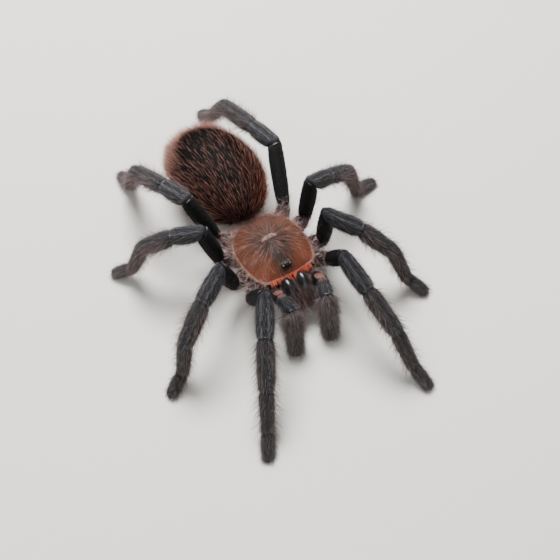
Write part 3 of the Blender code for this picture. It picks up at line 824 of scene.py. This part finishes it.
def make_eyes(finishes):
    """The mound, and eight lenses set into it: the two round front ones black, the rest a little paler."""
    x, y = MOUND_MIDDLE
    top = shield_top(np.array([x]), np.array([y]), np.array([abs(y) / SHIELD_FRONT]))[0] + MOUND_LIFT
    points, faces = ball_mesh((x, y, top), MOUND_RADII, 20, 32)
    mound = new_piece("eye_mound", points, faces, finishes["shield"], {"zone": np.full(len(points), 0.12)})
    parts = []
    for side in SIDES.values():
        for place, (across, forward, share, radius) in enumerate(EYES):
            middle = (x + side * across * EYE_SPREAD, y - forward, top + MOUND_RADII[2] * share)
            points, faces = ball_mesh(middle, np.full(3, radius) * EYE_SIZE)
            parts.append((points, faces, np.full(len(points), 0.0 if place == 0 else 0.6)))
    points, faces, zone = gather(parts)
    lenses = new_piece("eye_lenses", points, faces, finishes["lens"], {"zone": zone})
    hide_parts("ocular_tubercle")
    return [mound, lenses]


def make_claws(finishes):
    """Two small hooks at each toe, half hidden in the hair."""
    parts = []
    for limb in LIMBS.values():
        toe, across = limb["joints"][-1], limb["across"][-1]
        flat = unit(limb["along"][-1] * (1, 1, 0))
        reach = CLAW_REACH if len(limb["segments"]) == len(LEG_SEGMENTS) else PALP_CLAW_REACH
        root = np.array([*(toe - flat * 0.5)[:2], max(toe[2] + 0.55, 0.75)])
        hook = np.array([flat * reach * far + (0, 0, height) for far, height in CLAW_HOOK])
        for side in SIDES.values():
            parts.append(path_tube(root + across * side * 0.35 + hook, CLAW_RADII, 12, 8, close=0.1))
    points, faces, share = gather(parts)
    claws = new_piece("claws", points, faces, finishes["fang"], {"along": share})
    return [claws]


def make_joint_rims(finishes):
    """Thin pale ridges over the back of each knee joint: a bar along the ring where two segments meet.

    The bar swells to its middle, breaks up in waves, and beyond the patella it runs in three lobes.
    """
    count, around = 40, 8
    sweep = np.radians(np.linspace(28, 152, count))
    swell = np.sqrt(np.sin(np.linspace(0, 1, count) * math.pi))
    parts = []
    for (_, pair), limb in LIMBS.items():
        for segment, strength, lobe in zip((1, 2), RIM_STRENGTH[pair], (0.0, 0.14)):
            lobes = lobe * np.abs(np.sin(np.linspace(0, 3, count) * math.pi))
            share = 0.975 + (lobes - 0.1) / limb["lengths"][segment]
            path = limb_place(limb, np.full(count, segment), share, sweep, grow=0.16)
            broken = np.clip(0.35 + 0.9 * np.sin(np.linspace(0, 11, count) + 2.1 * len(parts)), 0, 1)
            radius = RIM_RADIUS * strength * swell * broken + 0.006
            along = unit(np.gradient(path, axis=0))
            out = square_to(unit(path - limb["joints"][segment + 1]), along)
            spoke = spokes(out, np.cross(along, out), ring_angles(around))
            rings = path[:, None] + spoke * radius[:, None, None]
            parts.append((tube_points(rings), tube_faces(count, around), np.zeros(count * around + 2)))
    points, faces, _ = gather(parts)
    rims = new_piece("joint_rims", points, faces, finishes["rim"])
    return [rims]


# Hair

PATCH = 0.003  # each hair's width on the unwrap
PLAN_SCALE = 0.048  # of the shield on its unwrap, for each millimetre
PILE = {"rings": 0, "sink": 0.08}  # the shortest hair, a straight point set less deep in the hide


def field(places, scale, seed):
    """A smooth wandering value from -1 to 1: the mean of sines along fixed random directions."""
    rng = np.random.default_rng(seed)
    ways = unit(rng.normal(size=(7, 3))) * (2 * math.pi / scale) * rng.uniform(0.6, 1.6, (7, 1))
    return np.sin(places @ ways.T + rng.uniform(0, 2 * math.pi, 7)).sum(axis=1) / 3.5


def lay(place, out, lie, uv):
    """Where hair grows: a place, the way out of the hide, the lie of the coat and its unwrap."""
    return {"place": place, "out": out, "lie": square_to(lie, out), "uv": uv}


def on_surface(place, first, second):
    """Outward normal and lie from a surface of two parameters: lie = dP/da, out = dP/da x dP/db."""
    step = 1e-3
    here = place(first, second)
    lie = (place(first + step, second) - here) / step
    across = (place(first, second + step) - here) / step
    return here, unit(np.cross(lie, across)), unit(lie)


def pick(skin, mask):
    """The roots where the mask is true."""
    return {key: value[mask] for key, value in skin.items()}


def chance(rng, skin):
    """A random number from 0 to 1 for each root."""
    return rng.uniform(size=len(skin["place"]))


def thin(rng, skin, keep):
    """Drops roots at random. Keep is the share of them that stays."""
    return pick(skin, chance(rng, skin) < keep)


def grow(rng, skin, length, width, lift, settle, rings=1, yaw=12.0, clump=10.0, wave=0.0, sink=0.12,
         zone=0.5, uneven=0.3):
    """Three-sided tapering hairs as arrays.

    The middle of a hair at share t of its length L is root + L (t d + t²/2 (e - d)), where d leaves
    the hide at the lift angle above the lie and e, its heading at the tip, at the settle angle. Both
    are turned sideways by yaw, partly shared with neighbours so that hairs clump. Wave adds a sideways
    sine. The radius is w/2 (1 - t)^0.7.
    """
    count = len(skin["place"])

    def each_hair(value):
        return np.broadcast_to(np.asarray(value, float), count)

    length = each_hair(length) * rng.uniform(1 - uneven, 1 + uneven, count)
    width = each_hair(width) * rng.uniform(0.8, 1.2, count)
    lift, settle = each_hair(lift), each_hair(settle)
    turn = np.radians(rng.normal(0, yaw, count) + clump * field(skin["place"], 1.7, 11))
    raise_by = rng.normal(0, 0.22, count) * lift + 0.2 * lift * field(skin["place"], 1.3, 12)
    out, lie = skin["out"], skin["lie"]
    flat = turned(lie, np.cross(out, lie), turn)

    def rise(angle):
        return turned(flat, out, np.radians(np.clip(angle + raise_by, -5, 95)))

    start, end = rise(lift), rise(settle)
    side = unit(np.cross(start, out) + 1e-6)
    spoke = spokes(side, np.cross(start, side), np.radians([90, 210, 330]))
    root = skin["place"] - out * sink
    phase = rng.uniform(0, 2 * math.pi, count)
    layers, alongs = [], []
    for t in np.linspace(0, 1, rings + 2):
        middle = root + length[:, None] * (t * start + 0.5 * t * t * (end - start))
        if wave:
            middle = middle + side * (wave * length * t * np.sin(5 * t + phase))[:, None]
            middle = middle + out * (0.6 * wave * length * t * np.cos(4 * t + phase))[:, None]
        layer = middle[:, None]
        if t < 1.0:
            layer = layer + spoke * (width / 2 * (1 - t) ** 0.7)[:, None, None]
        layers.append(layer)
        alongs.append(np.full(layer.shape[1], t))
    points = np.concatenate(layers, axis=1)
    points[..., 2] = np.maximum(points[..., 2], FLOOR_CLEARANCE)
    along = np.concatenate(alongs)
    each = points.shape[1]
    faces = [(0, 2, 1)]
    for ring in range(0, 3 * rings, 3):
        for k in range(3):
            a, b = ring + k, ring + (k + 1) % 3
            faces += [(a, b, b + 3), (a, b + 3, a + 3)]
    faces += [(3 * rings + k, 3 * rings + (k + 1) % 3, each - 1) for k in range(3)]
    tint = np.clip(0.5 + 0.26 * rng.normal(size=count) + 0.1 * field(skin["place"], 2.5, 13), 0, 1)
    shift = np.column_stack([np.append(np.tile([-0.5, 0.0, 0.5], rings + 1), 0.0), along - 0.5]) * PATCH
    return {
        "points": points.reshape(-1, 3),
        "faces": (np.array(faces)[None] + each * np.arange(count)[:, None, None]).reshape(-1, 3),
        "along": np.tile(along, count),
        "tint": np.repeat(tint, each),
        "zone": np.repeat(each_hair(zone), each),
        "patch": (skin["uv"][:, None] + shift[None]).reshape(-1, 2),
    }


def coat(name, batches, material):
    """One coat piece from several batches of hair."""
    faces, start = [], 0
    for batch in batches:
        faces.append(batch["faces"] + start)
        start += len(batch["points"])
    merged = {key: np.concatenate([batch[key] for batch in batches])
              for key in ("points", "along", "tint", "zone", "patch")}
    values = {key: merged[key] for key in ("along", "tint", "zone")}
    piece = new_piece(name, merged["points"], [np.concatenate(faces)], material, values, merged["patch"])
    return piece


def limb_skin(limb, number, share, around, strip):
    """Roots on a limb's hide. The unwrap is a strip: along the limb upwards, around it sideways."""
    segment = np.full(len(share), number)
    here, inward, lie = on_surface(lambda a, b: limb_place(limb, segment, a, b), share, around)
    starts = np.concatenate([[0], np.cumsum(limb["lengths"])])
    far = (starts[number] + share * limb["lengths"][number]) / starts[-1]
    left, right = strip
    across = left + (right - left) * (around / (2 * math.pi) % 1.0) * 0.96 + 0.01
    skin = lay(here, -inward, lie, np.column_stack([across, 0.01 + 0.98 * far]))
    skin["around"], skin["share"] = around, share
    return pick(skin, np.isfinite(inward).all(axis=1))


def even_pairs(rng, count):
    """Pairs from 0 to 1 that fill a square evenly: fractions of n times two irrational steps, shaken."""
    steps = np.arange(count)[:, None] * (0.7548776662, 0.5698402910)
    shake = 0.25 / math.sqrt(max(count, 1))
    return ((steps + rng.uniform(0, 1, 2) + rng.normal(0, shake, (count, 2))) % 1.0).T


def scatter(rng, count, low=0.0, high=1.0):
    """Even shares of a segment and angles round it."""
    first, second = even_pairs(rng, count)
    return low + (high - low) * first, 2 * math.pi * second


def segment_coat(rng, limb, name, strip):
    """The coat of one segment: close pile in its own colour, then longer hair where that segment has it.

    Each layer is even roots (to the square millimetre, from one share of the segment to another), some
    of them dropped, then hair of a length and a width in millimetres that lifts and settles by degrees.
    """
    number = limb["segments"].index(name)
    palp = len(limb["segments"]) == len(PALP_SEGMENTS)
    area = limb["lengths"][number] * (2 * math.pi * limb["radii"][number].mean())
    batches = []

    def roots(per_mm, low=0.0, high=1.0):
        share, around = scatter(rng, int(area * per_mm * (high - low)), low, high)
        return limb_skin(limb, number, share, around, strip)

    def plant(skin, *shape, **more):
        batches.append(grow(rng, skin, *shape, **more))

    def salmon(skin):
        """How far a root is in the palp's salmon patch, over the end of the femur and on to the patella."""
        past = (skin["share"] + number - 2) * 5
        upper = np.clip(4 * np.sin(skin["around"]) - 2.6, 0, 1)
        return upper * onset(past, -2.6, 0.8) * fading(past, 1.6, 0.8)

    def stripes(skin, middle, width):
        """Two bands along the top, each so many degrees to the side of its middle line."""
        turn = (np.degrees(skin["around"]) - 90 + 180) % 360 - 180
        return bell(np.abs(turn), middle, width)

    def below(skin):
        return np.clip(-np.sin(skin["around"]), 0, 1)

    def beside(skin):
        return np.abs(np.cos(skin["around"]))

    def off_top(skin):
        return np.maximum(beside(skin), below(skin))

    if name == "coxa":
        plant(roots(6, 0.3), 0.9, 0.13, 30, 12, zone=0.5, wave=0.05)
        skin = roots(5.4, 0.35)
        skin = pick(skin, field(skin["place"], 2.2, 41) > -0.12)
        plant(skin, 2.5, 0.07, 55, 10, rings=3, yaw=50, clump=50, wave=0.24, uneven=0.5,
              zone=0.9 + 0.1 * (chance(rng, skin) > 0.2))
    elif name == "femur":
        skin = roots(18, 0.0, 0.965)
        short = 1 - 0.25 * onset(skin["share"], 0.9, 0.08)
        patch = salmon(skin) if palp else 0.0
        zone = 0.9 * (patch > rng.uniform(0.1, 0.6, len(short)))
        plant(skin, 0.85 * short, 0.13, 22, 6, yaw=9, clump=5, zone=zone, **PILE)
        if palp:
            skin = roots(50, 0.2, 0.99)
            skin = pick(skin, salmon(skin) > 0.4)
            length = 0.8 + 0.4 * onset(skin["share"], 0.75, 0.2)
            plant(skin, length, 0.12, 13, 4, yaw=7, clump=3, zone=0.93, **PILE)
        skin = roots(30, 0.88, 0.985)
        if palp:
            skin = pick(skin, salmon(skin) < 0.3)
        plant(pick(skin, np.sin(skin["around"]) > 0), 0.7, 0.12, 25, 8, zone=0.0, **PILE)
        skin = roots(1.4, 0.05, 0.9)
        plant(pick(skin, below(skin) > 0.25), 2.2, 0.06, 45, 20, yaw=25, zone=0.74, uneven=0.5)
        plant(roots(2.4, 0.0, 0.14), 1.6, 0.09, 45, 25, rings=3, yaw=40, wave=0.14, zone=1.0, uneven=0.5)
    elif name == "patella":
        skin = roots(15, 0.03, 0.955)
        pale = stripes(skin, 24, 8) * fading(skin["share"], 0.95, 0.2) * onset(skin["share"], 0.05, 0.1)
        patch = salmon(skin) if palp else 0.0
        zone = np.where(patch > rng.uniform(0.1, 0.6, len(pale)), 0.9, 0.15 + 0.15 * pale)
        plant(skin, 0.8, 0.11, 15, 4, yaw=7, clump=4, zone=zone, **PILE)
        if palp:
            skin = roots(50, 0.0, 0.5)
            plant(pick(skin, salmon(skin) > 0.4), 0.8, 0.12, 13, 4, yaw=7, clump=3, zone=0.93, **PILE)
        skin = roots(34, 0.0, 0.12)
        if palp:
            skin = pick(skin, salmon(skin) < 0.3)
        plant(pick(skin, np.sin(skin["around"]) > 0), 0.9, 0.09, 22, 6, yaw=9, zone=0.18, **PILE)
        skin = roots(9, 0.0, 0.93)
        skin = thin(rng, skin, 0.45 + 0.55 * stripes(skin, 24, 9))
        plant(skin, 1.7, 0.06, 12, 4, yaw=5, clump=4, uneven=0.4, sink=0.05,
              zone=0.17 + 0.13 * stripes(skin, 24, 9) + 0.05 * chance(rng, skin))
        skin = roots(4.5, 0.12, 0.97)
        skin = thin(rng, skin, 0.3 + 0.7 * off_top(skin))
        stand = 12 + 24 * off_top(skin) ** 2
        plant(skin, 2.0, 0.08, stand, 0.4 * stand, yaw=14, clump=5, zone=0.74, uneven=0.5)
    elif name in ("tibia", "metatarsus"):
        skin = roots(15, 0.02, 0.98)
        pale = stripes(skin, 26, 9) * (0.8 if name == "tibia" else 0.55)
        plant(skin, 0.95, 0.12, 20, 6, yaw=7, clump=4, zone=0.45 - 0.14 * pale, **PILE)
        if palp:
            skin = roots(15.0, 0.02, 0.97)
            plant(skin, 2.9, 0.07, 32, 14, yaw=7, clump=5, zone=0.7 + 0.15 * chance(rng, skin), uneven=0.45)
        else:
            skin = roots(8.5, 0.02, 0.97)
            side = off_top(skin) ** 2
            plant(skin, 1.9, 0.07, 14 + 12 * side, 5, yaw=7, clump=5, uneven=0.45,
                  zone=0.59 + 0.06 * side + 0.15 * chance(rng, skin))
        skin = roots(9.0 if palp else 5.6, 0.04, 0.97)
        skin = thin(rng, skin, 0.06 + 0.94 * off_top(skin) ** 2)
        plant(skin, 1.4 + 1.9 * off_top(skin) ** 2, 0.085, 48, 26, yaw=14, clump=6, zone=0.82, uneven=0.5)
        if name == "metatarsus":
            skin = roots(16, 0.84, 0.995)
            plant(skin, 1.8, 0.08, 22, 4, yaw=8, clump=5, zone=0.64 + 0.15 * chance(rng, skin), uneven=0.4)
    else:
        plant(roots(18, 0.02, 0.99), 0.85, 0.14, 24, 10, zone=0.6, **PILE)
        skin = roots(15.0, 0.0, 0.7) if palp else roots(10.0, 0.0, 0.9)
        length, lift, shade = (2.7, 34, 0.68) if palp else (1.5, 30, 0.65)
        zone = shade + 0.15 * chance(rng, skin)
        plant(skin, length, 0.07, lift, 10, yaw=10, clump=5, zone=zone, uneven=0.45)
        plant(roots(5, 0.8, 0.99), 0.95, 0.12, 28, 5, yaw=14, zone=0.6)
        skin = roots(9, 0.05, 0.92)
        plant(pick(skin, beside(skin) > 0.6), 1.8, 0.08, 48, 22, yaw=12, clump=5, zone=0.76, uneven=0.5)
    return batches


def make_limb_coats(finishes):
    """Four coats of two legs each, and one of both palps."""
    made = []
    groups = {f"coat_{side}_legs_{a}_{b}": [(side, a), (side, b)]
              for side in SIDES for a, b in ((1, 2), (3, 4))}
    groups["coat_palps"] = [(side, "palp") for side in SIDES]
    for seed, (name, members) in enumerate(groups.items()):
        rng = np.random.default_rng(100 + seed)
        batches = []
        for half, key in enumerate(members):
            limb = LIMBS[key]
            for segment in limb["segments"]:
                batches += segment_coat(rng, limb, segment, (0.5 * half, 0.5 * half + 0.5))
        made.append(coat(name, batches, finishes["limb_hair"]))
    return made


def abdomen_skin(rng, count, low=0.02, high=0.98):
    """Even roots on the abdomen, whose hair streams up from the waist and then to the rear.

    The unwrap is around by down. Tail is how near a root is to the tail end, and back how level.
    """
    first, second = even_pairs(rng, count)
    down = np.arccos(1 - 2 * (low + (high - low) * first))
    around = 2 * math.pi * second
    here, inward, _ = on_surface(abdomen_place, down, around)
    uv = np.column_stack([0.01 + 0.98 * around / (2 * math.pi), 0.01 + 0.98 * down / math.pi])
    turn = math.radians(ABDOMEN_TURN)
    rise = np.radians(62) * bell(down, 0, np.radians(70))
    rearward = np.array([-math.sin(turn), math.cos(turn), 0.0])
    skin = lay(here, -inward, turned(rearward, UP, rise), uv)
    skin["out"][dot(skin["out"], here - ABDOMEN_MIDDLE)[:, 0] < 0] *= -1
    skin["tail"], skin["back"] = down / math.pi, np.clip(skin["out"][:, 2], 0, 1)
    return skin


def make_abdomen_coats(finishes):
    """Velvet pile, then long hair that streams to the rear and thickens into a fringe round the tail end."""
    rng = np.random.default_rng(7)
    skin = abdomen_skin(rng, 44000)
    warm = onset(skin["tail"], 0.72, 0.2) * (1 - skin["back"])
    velvet = [grow(rng, skin, 1.0, 0.11, 30, 12, rings=0, yaw=8, clump=6, zone=0.45 * warm, sink=0.1)]
    made = [coat("coat_abdomen_velvet", velvet, finishes["velvet"])]

    skin = abdomen_skin(rng, 6200, 0.0, 0.95)
    bald = bell(skin["tail"], 0.72, 0.16) * skin["back"] ** 3
    skin = thin(rng, skin, (0.44 + 0.56 * (1 - skin["back"] ** 2)) * (1 - 0.92 * bald))
    flank = np.clip(skin["out"][:, 0] * 1.3, 0, 1) * fading(skin["tail"], 0.6, 0.3)
    zone = 0.5 * flank + 0.3 * (1 - flank) * chance(rng, skin)
    side = onset(np.abs(skin["out"][:, 0]), 0.45, 0.3)
    zone = np.where(chance(rng, skin) < 0.45 * side, 0.85, zone)
    long_hair = [grow(rng, skin, 2.8 - 0.7 * skin["back"] ** 2, 0.098, 30 + 12 * side, 10 + 8 * side,
                      rings=2, yaw=4, clump=5, zone=zone, uneven=0.4)]
    made.append(coat("coat_abdomen_back", long_hair, finishes["long_hair"]))

    skin = abdomen_skin(rng, 13500, 0.5, 1.0)
    open_back = onset(skin["back"], 0.5, 0.35) * fading(skin["tail"], 0.95, 0.1)
    skin = thin(rng, skin, onset(skin["tail"], 0.6, 0.16) * (1 - open_back))
    fringe = [grow(rng, skin, 3.2, 0.075, 50, 28, rings=2, yaw=12, clump=10,
                   zone=0.8 + 0.2 * chance(rng, skin), uneven=0.4)]
    for side in SIDES.values():
        line = spinneret_line(side)
        t, around = rng.uniform(0.3, 0.98, 900), rng.uniform(0, 2 * math.pi, 900)
        way = unit(smooth_run(line, t + 0.01) - smooth_run(line, t - 0.01))
        up = square_to(UP, way)
        spoke = turned(np.cross(up, way), up, around)
        here = smooth_run(line, t) + spoke * smooth_run(SPINNERET_RADII, t)[:, None] * 0.95
        skin = lay(here, spoke, way, np.column_stack([0.01 + 0.98 * around / (2 * math.pi), 0.9 + 0.09 * t]))
        fringe.append(grow(rng, skin, 1.0, 0.1, 35, 12, rings=0, zone=0.3))
    made.append(coat("coat_abdomen_fringe", fringe, finishes["long_hair"]))
    return made


def shield_skin(rng, count, low=0.0, high=1.0):
    """Even roots on the shield, with the lie brushed outward from the fovea. The unwrap is its plan."""
    first, turn = even_pairs(rng, count)
    share = np.sqrt(low**2 + (high**2 - low**2) * first)
    here = shield_place(share, turn)
    step = 1e-3
    out = unit(np.cross(shield_place(share + step, turn) - here, shield_place(share, turn + step) - here))
    out = out * np.sign(out[:, 2:] + 1e-9)
    x, y = here[:, 0], here[:, 1] - FOVEA_MIDDLE
    swirl = 0.25 * field(here, 6.0, 21)
    lie = np.column_stack([x - swirl * y, y + swirl * x, np.zeros(count)])
    skin = lay(here, out, unit(lie), 0.5 + here[:, :2] * PLAN_SCALE)
    skin["share"] = share
    return skin


def make_shield_coat(finishes):
    """Down brushed flat over the shield, paler strands, painted highlight at the fovea, fluff overhanging the
    rim.
    """
    rng = np.random.default_rng(31)
    batches = []

    def plant(skin, *shape, sink=0.05, **more):
        batches.append(grow(rng, skin, *shape, sink=sink, **more))

    skin = shield_skin(rng, 9000, 0.03, 0.985)
    plant(skin, 0.6, 0.08, 10, 3, rings=0, yaw=24, zone=down_zone(skin))
    skin = shield_skin(rng, 3600, 0.04, 0.97)
    open_side = onset(-skin["place"][:, 1], 2, 4) * (np.abs(skin["place"][:, 0]) > 2.4)
    skin = pick(skin, chance(rng, skin) > 0.6 * open_side)
    zone = down_zone(skin) + 0.3 * (1 - skin["share"] ** 2) * chance(rng, skin)
    plant(skin, 1.6, 0.07, 14, 0, rings=2, yaw=14, clump=26, wave=0.07, zone=zone, sink=0.04, uneven=0.5)
    skin = shield_skin(rng, 1100, 0.04, 0.9)
    near = bell(skin["share"], 0, 0.75) * (1 - 0.85 * onset(-skin["place"][:, 1], 0.5, 3))
    skin = thin(rng, skin, near)
    # Painted shade: the strands darken towards the rear
    zone = (0.55 + 0.3 * chance(rng, skin)) * (1 - 0.25 * onset(skin["place"][:, 1], 0, 6))
    plant(skin, 2.6, 0.085, 14, -10, rings=3, yaw=10, clump=34, wave=0.08, zone=zone, sink=0.04, uneven=0.5)
    # Pale hair along the fold behind the fovea: a painted highlight
    count = 340
    x = rng.uniform(-1.6, 1.6, count)
    y = FOVEA_MIDDLE + FOLD_BEHIND - FOVEA_CURVE * x**2 + rng.normal(0, 0.12, count)
    fold = np.column_stack([x, y, shield_top(x, y, np.hypot(x, y) / SHIELD_REAR)])
    lie = [x + 0.4 * rng.normal(size=count), 0.3 + 0.4 * rng.normal(size=count), np.zeros(count)]
    skin = lay(fold, np.tile(UP, (count, 1)), np.column_stack(lie), 0.5 + fold[:, :2] * PLAN_SCALE)
    plant(skin, 0.8, 0.085, 34, 6, yaw=20, zone=1.0)
    for count, length, width, spread, wave in ((1700, 0.7, 0.06, 20, 0.05), (420, 2.3, 0.07, 50, 0.2)):
        skin = shield_skin(rng, count, 0.965, 1.0)
        front = onset(-skin["place"][:, 1], 8.6, 0.6) * (np.abs(skin["place"][:, 0]) < 5.4)
        skin = pick(skin, front < 0.5)
        plant(skin, length, width, 15, -30, rings=2, yaw=spread, clump=40, wave=wave, zone=0.9, uneven=0.6)
    skin = shield_skin(rng, 2200, 0.965, 1.0)
    skin = pick(skin, skin["place"][:, 1] > 5.5)
    plant(skin, 2.9, 0.075, 10, -24, rings=2, yaw=36, clump=36, wave=0.16, zone=0.5 + 0.4 * chance(rng, skin),
          uneven=0.6)
    return [coat("coat_shield", batches, finishes["down"])]


def down_zone(skin):
    """Colour zone of the down: the horn's beneath it, grey-brown 0 to rust 0.5, with painted shade to the
    rear.
    """
    # Painted shade: the down darkens towards the rear
    rear = onset(skin["place"][:, 1], 3, 4)
    return np.clip(0.78 * shield_zone(skin["place"]) * (1 - 0.3 * rear) - 0.02, 0, 1)


def make_fringe(finishes):
    """The brow fringe: a row of stout tufts along the front edge of the shield, parted in the middle.

    Tuft number n of a side stands at x = TUFT_START + TUFT_STEP n, and its bristles fan out slightly.
    """
    rng = np.random.default_rng(51)
    batches = []
    for bristles, length, width, spread in ((14, 2.5, 0.12, 0.06), (3, 1.4, 0.07, 0.2)):
        tuft = TUFT_START + TUFT_STEP * np.arange(TUFTS_PER_SIDE)
        x = np.concatenate([-tuft, tuft]) + rng.uniform(-0.05, 0.05, 2 * TUFTS_PER_SIDE)
        stature = rng.uniform(0.85, 1.12, len(x)) * (1 - 0.12 * (x / SHIELD_FRONT_HALF_WIDTH) ** 2)
        way = x * 0.05 + rng.normal(0, 0.04, len(x))
        shade = rng.uniform(size=len(x))
        x, stature, way, shade = (np.repeat(values, bristles) for values in (x, stature, way, shade))
        count = len(x)
        x = x + rng.normal(0, spread, count)
        front = -SHIELD_FRONT - SHIELD_FRONT_BULGE * (1 - (x / SHIELD_FRONT_HALF_WIDTH) ** 2) + FRINGE_SETBACK
        height = shield_top(x, front, np.full(count, 0.965))
        here = np.column_stack([x, front + rng.uniform(-0.05, 0.3, count), height])
        lie = np.column_stack([way + rng.normal(0, 0.02, count), np.full(count, -1.0), np.full(count, -0.25)])
        out = unit(np.tile([0.0, -0.3, 1.0], (count, 1)))
        skin = lay(here, out, unit(lie), np.column_stack([0.5 + x * 0.08, 0.3 + rng.uniform(0, 0.4, count)]))
        batches.append(grow(rng, skin, length * stature, width, 30, -38, rings=3, yaw=3, clump=0, zone=shade,
                            uneven=0.15))
    return [coat("brow_fringe", batches, finishes["fringe"])]


def make_jaw_coat(finishes):
    """Long hair trailing forward and down over the jaws, thin on their black tops."""
    rng = np.random.default_rng(61)
    batches = []
    for side in SIDES.values():
        for count, length, lift, settle, rings, wave, bald in (
            (2200, 0.7, 14, 4, 0, 0.0, 0.3), (1500, 2.9, 20, -10, 3, 0.05, 0.45),
        ):
            share, around = rng.uniform(0.1, 0.97, count), rng.uniform(0, 2 * math.pi, count)
            here, normal, lie = on_surface(lambda a, b: jaw_place(side, a, b), share, around)
            middle = smooth_run(JAW_RINGS, share)
            inside = np.column_stack([np.full(count, side * JAW_OFFSET), middle[:, 0], middle[:, 1]])
            out = normal * np.sign(dot(normal, here - inside))
            uv = [0.25 + 0.25 * side + 0.01 + 0.46 * around / (2 * math.pi), 0.01 + 0.98 * share]
            skin = lay(here, out, lie, np.column_stack(uv))
            skin["share"] = share
            top = np.clip(1.6 * np.sin(around), 0, 1) * fading(share, 0.75, 0.25)
            keep = chance(rng, skin) < 1 - (1 - 0.3 * bald) * top
            skin = pick(skin, keep & np.isfinite(out).all(axis=1))
            zone = 0.45 * chance(rng, skin) + 0.45 * (chance(rng, skin) > 0.8)
            longer = length * (0.8 + 0.5 * skin["share"])
            batches.append(grow(rng, skin, longer, 0.07, lift, settle, rings=rings, yaw=14, wave=wave,
                                zone=zone, uneven=0.4))
        # Long whiskers from the outer corner of the brow, out over the jaw
        count = 60
        t = rng.uniform(0, 1, count)
        x, y, z = BROW_CORNER
        here = [side * (x + 1.6 * t), y - 1.2 * (1 - t), z + rng.uniform(-0.5, 0.5, count)]
        lie = [side * rng.normal(-0.1, 0.12, count), np.full(count, -1.0), rng.normal(-0.45, 0.12, count)]
        out = unit(np.tile([side * 0.6, 0.0, 0.8], (count, 1)))
        uv = [0.05 + 0.9 * t, np.full(count, 0.99)]
        skin = lay(np.column_stack(here), out, unit(np.column_stack(lie)), np.column_stack(uv))
        batches.append(grow(rng, skin, 4.6, 0.07, 14, -14, rings=4, yaw=6, clump=14, wave=0.06, zone=1.0,
                            uneven=0.35))
    return [coat("coat_jaws", batches, finishes["jaw_hair"])]


# Stage

FLOOR_HALF = 4.0  # metres
CAMERA_AZIMUTH, CAMERA_HEIGHT, CAMERA_ROLL = -28.22, 57.49, 2.66
CAMERA_DISTANCE = 281.4
CAMERA_TARGET = (-2.52, -8.84, 8.0)
CAMERA_LENS = 71.8  # on a 36 mm sensor


def make_stage():
    """A pale matt floor, a soft key light above, a wide fill, and pale light from all round."""
    mesh = bpy.data.meshes.new("floor")
    near, far = -FLOOR_HALF, FLOOR_HALF
    mesh.from_pydata([(near, near, 0), (far, near, 0), (far, far, 0), (near, far, 0)], [], [(0, 1, 2, 3)])
    # Floor: matt paper, warm pale grey, with no shine
    material, _, shader = finish("matt_paper", Roughness=0.95, Specular_IOR_Level=0.1)
    shader.inputs["Base Color"].default_value = colour("#D9D5CE")
    mesh.materials.append(material)
    floor = show("floor", mesh)

    world = bpy.data.worlds.new("studio")
    world.use_nodes = True
    background = world.node_tree.nodes["Background"].inputs
    background["Color"].default_value, background["Strength"].default_value = colour("#F2F4F8"), 0.42
    bpy.context.scene.world = world
    target = np.array([0.0, 0.0, 0.005])
    for name, way, distance, size, power in (
        ("key", (0.15, 0.5, 1.0), 0.55, 0.3, 9.0),
        ("fill", (-0.8, -0.7, 0.6), 0.6, 0.5, 1.6),
    ):
        lamp = bpy.data.lights.new(name, "AREA")
        lamp.shape, lamp.size, lamp.energy = "DISK", size, power
        light = show(name, lamp)
        way = unit(np.array(way))
        light.location = target + way * distance
        light.rotation_euler = Vector(way).to_track_quat("Z", "Y").to_euler()


def make_camera():
    """Looks down at the shield from in front, a little to the right, with a slight roll."""
    a, e, r = (math.radians(angle) for angle in (CAMERA_AZIMUTH, CAMERA_HEIGHT, CAMERA_ROLL))
    back = Vector((math.sin(a) * math.cos(e), -math.cos(a) * math.cos(e), math.sin(e)))
    right = Vector((math.cos(a), math.sin(a), 0))
    up = back.cross(right)
    rolled = right * math.cos(r) - up * math.sin(r)
    raised = right * math.sin(r) + up * math.cos(r)
    lens = bpy.data.cameras.new("camera")
    lens.lens, lens.sensor_width, lens.sensor_fit = CAMERA_LENS, 36.0, "HORIZONTAL"
    lens.clip_start, lens.clip_end = 0.01, 10.0
    camera = show("camera", lens)
    place = (Vector(CAMERA_TARGET) + Vector(HOME) + back * CAMERA_DISTANCE) * MM
    camera.matrix_world = Matrix.Translation(place) @ Matrix((rolled, raised, back)).transposed().to_4x4()
    bpy.context.scene.camera = camera


make_camera()
make_stage()
FINISHES = make_finishes()
pieces = []
for maker in (make_shield, make_hide, make_jaws, make_eyes, make_claws, make_joint_rims, make_limb_coats,
              make_abdomen_coats, make_shield_coat, make_fringe, make_jaw_coat):
    pieces += maker(FINISHES)
for piece in pieces:
    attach(piece, "root")
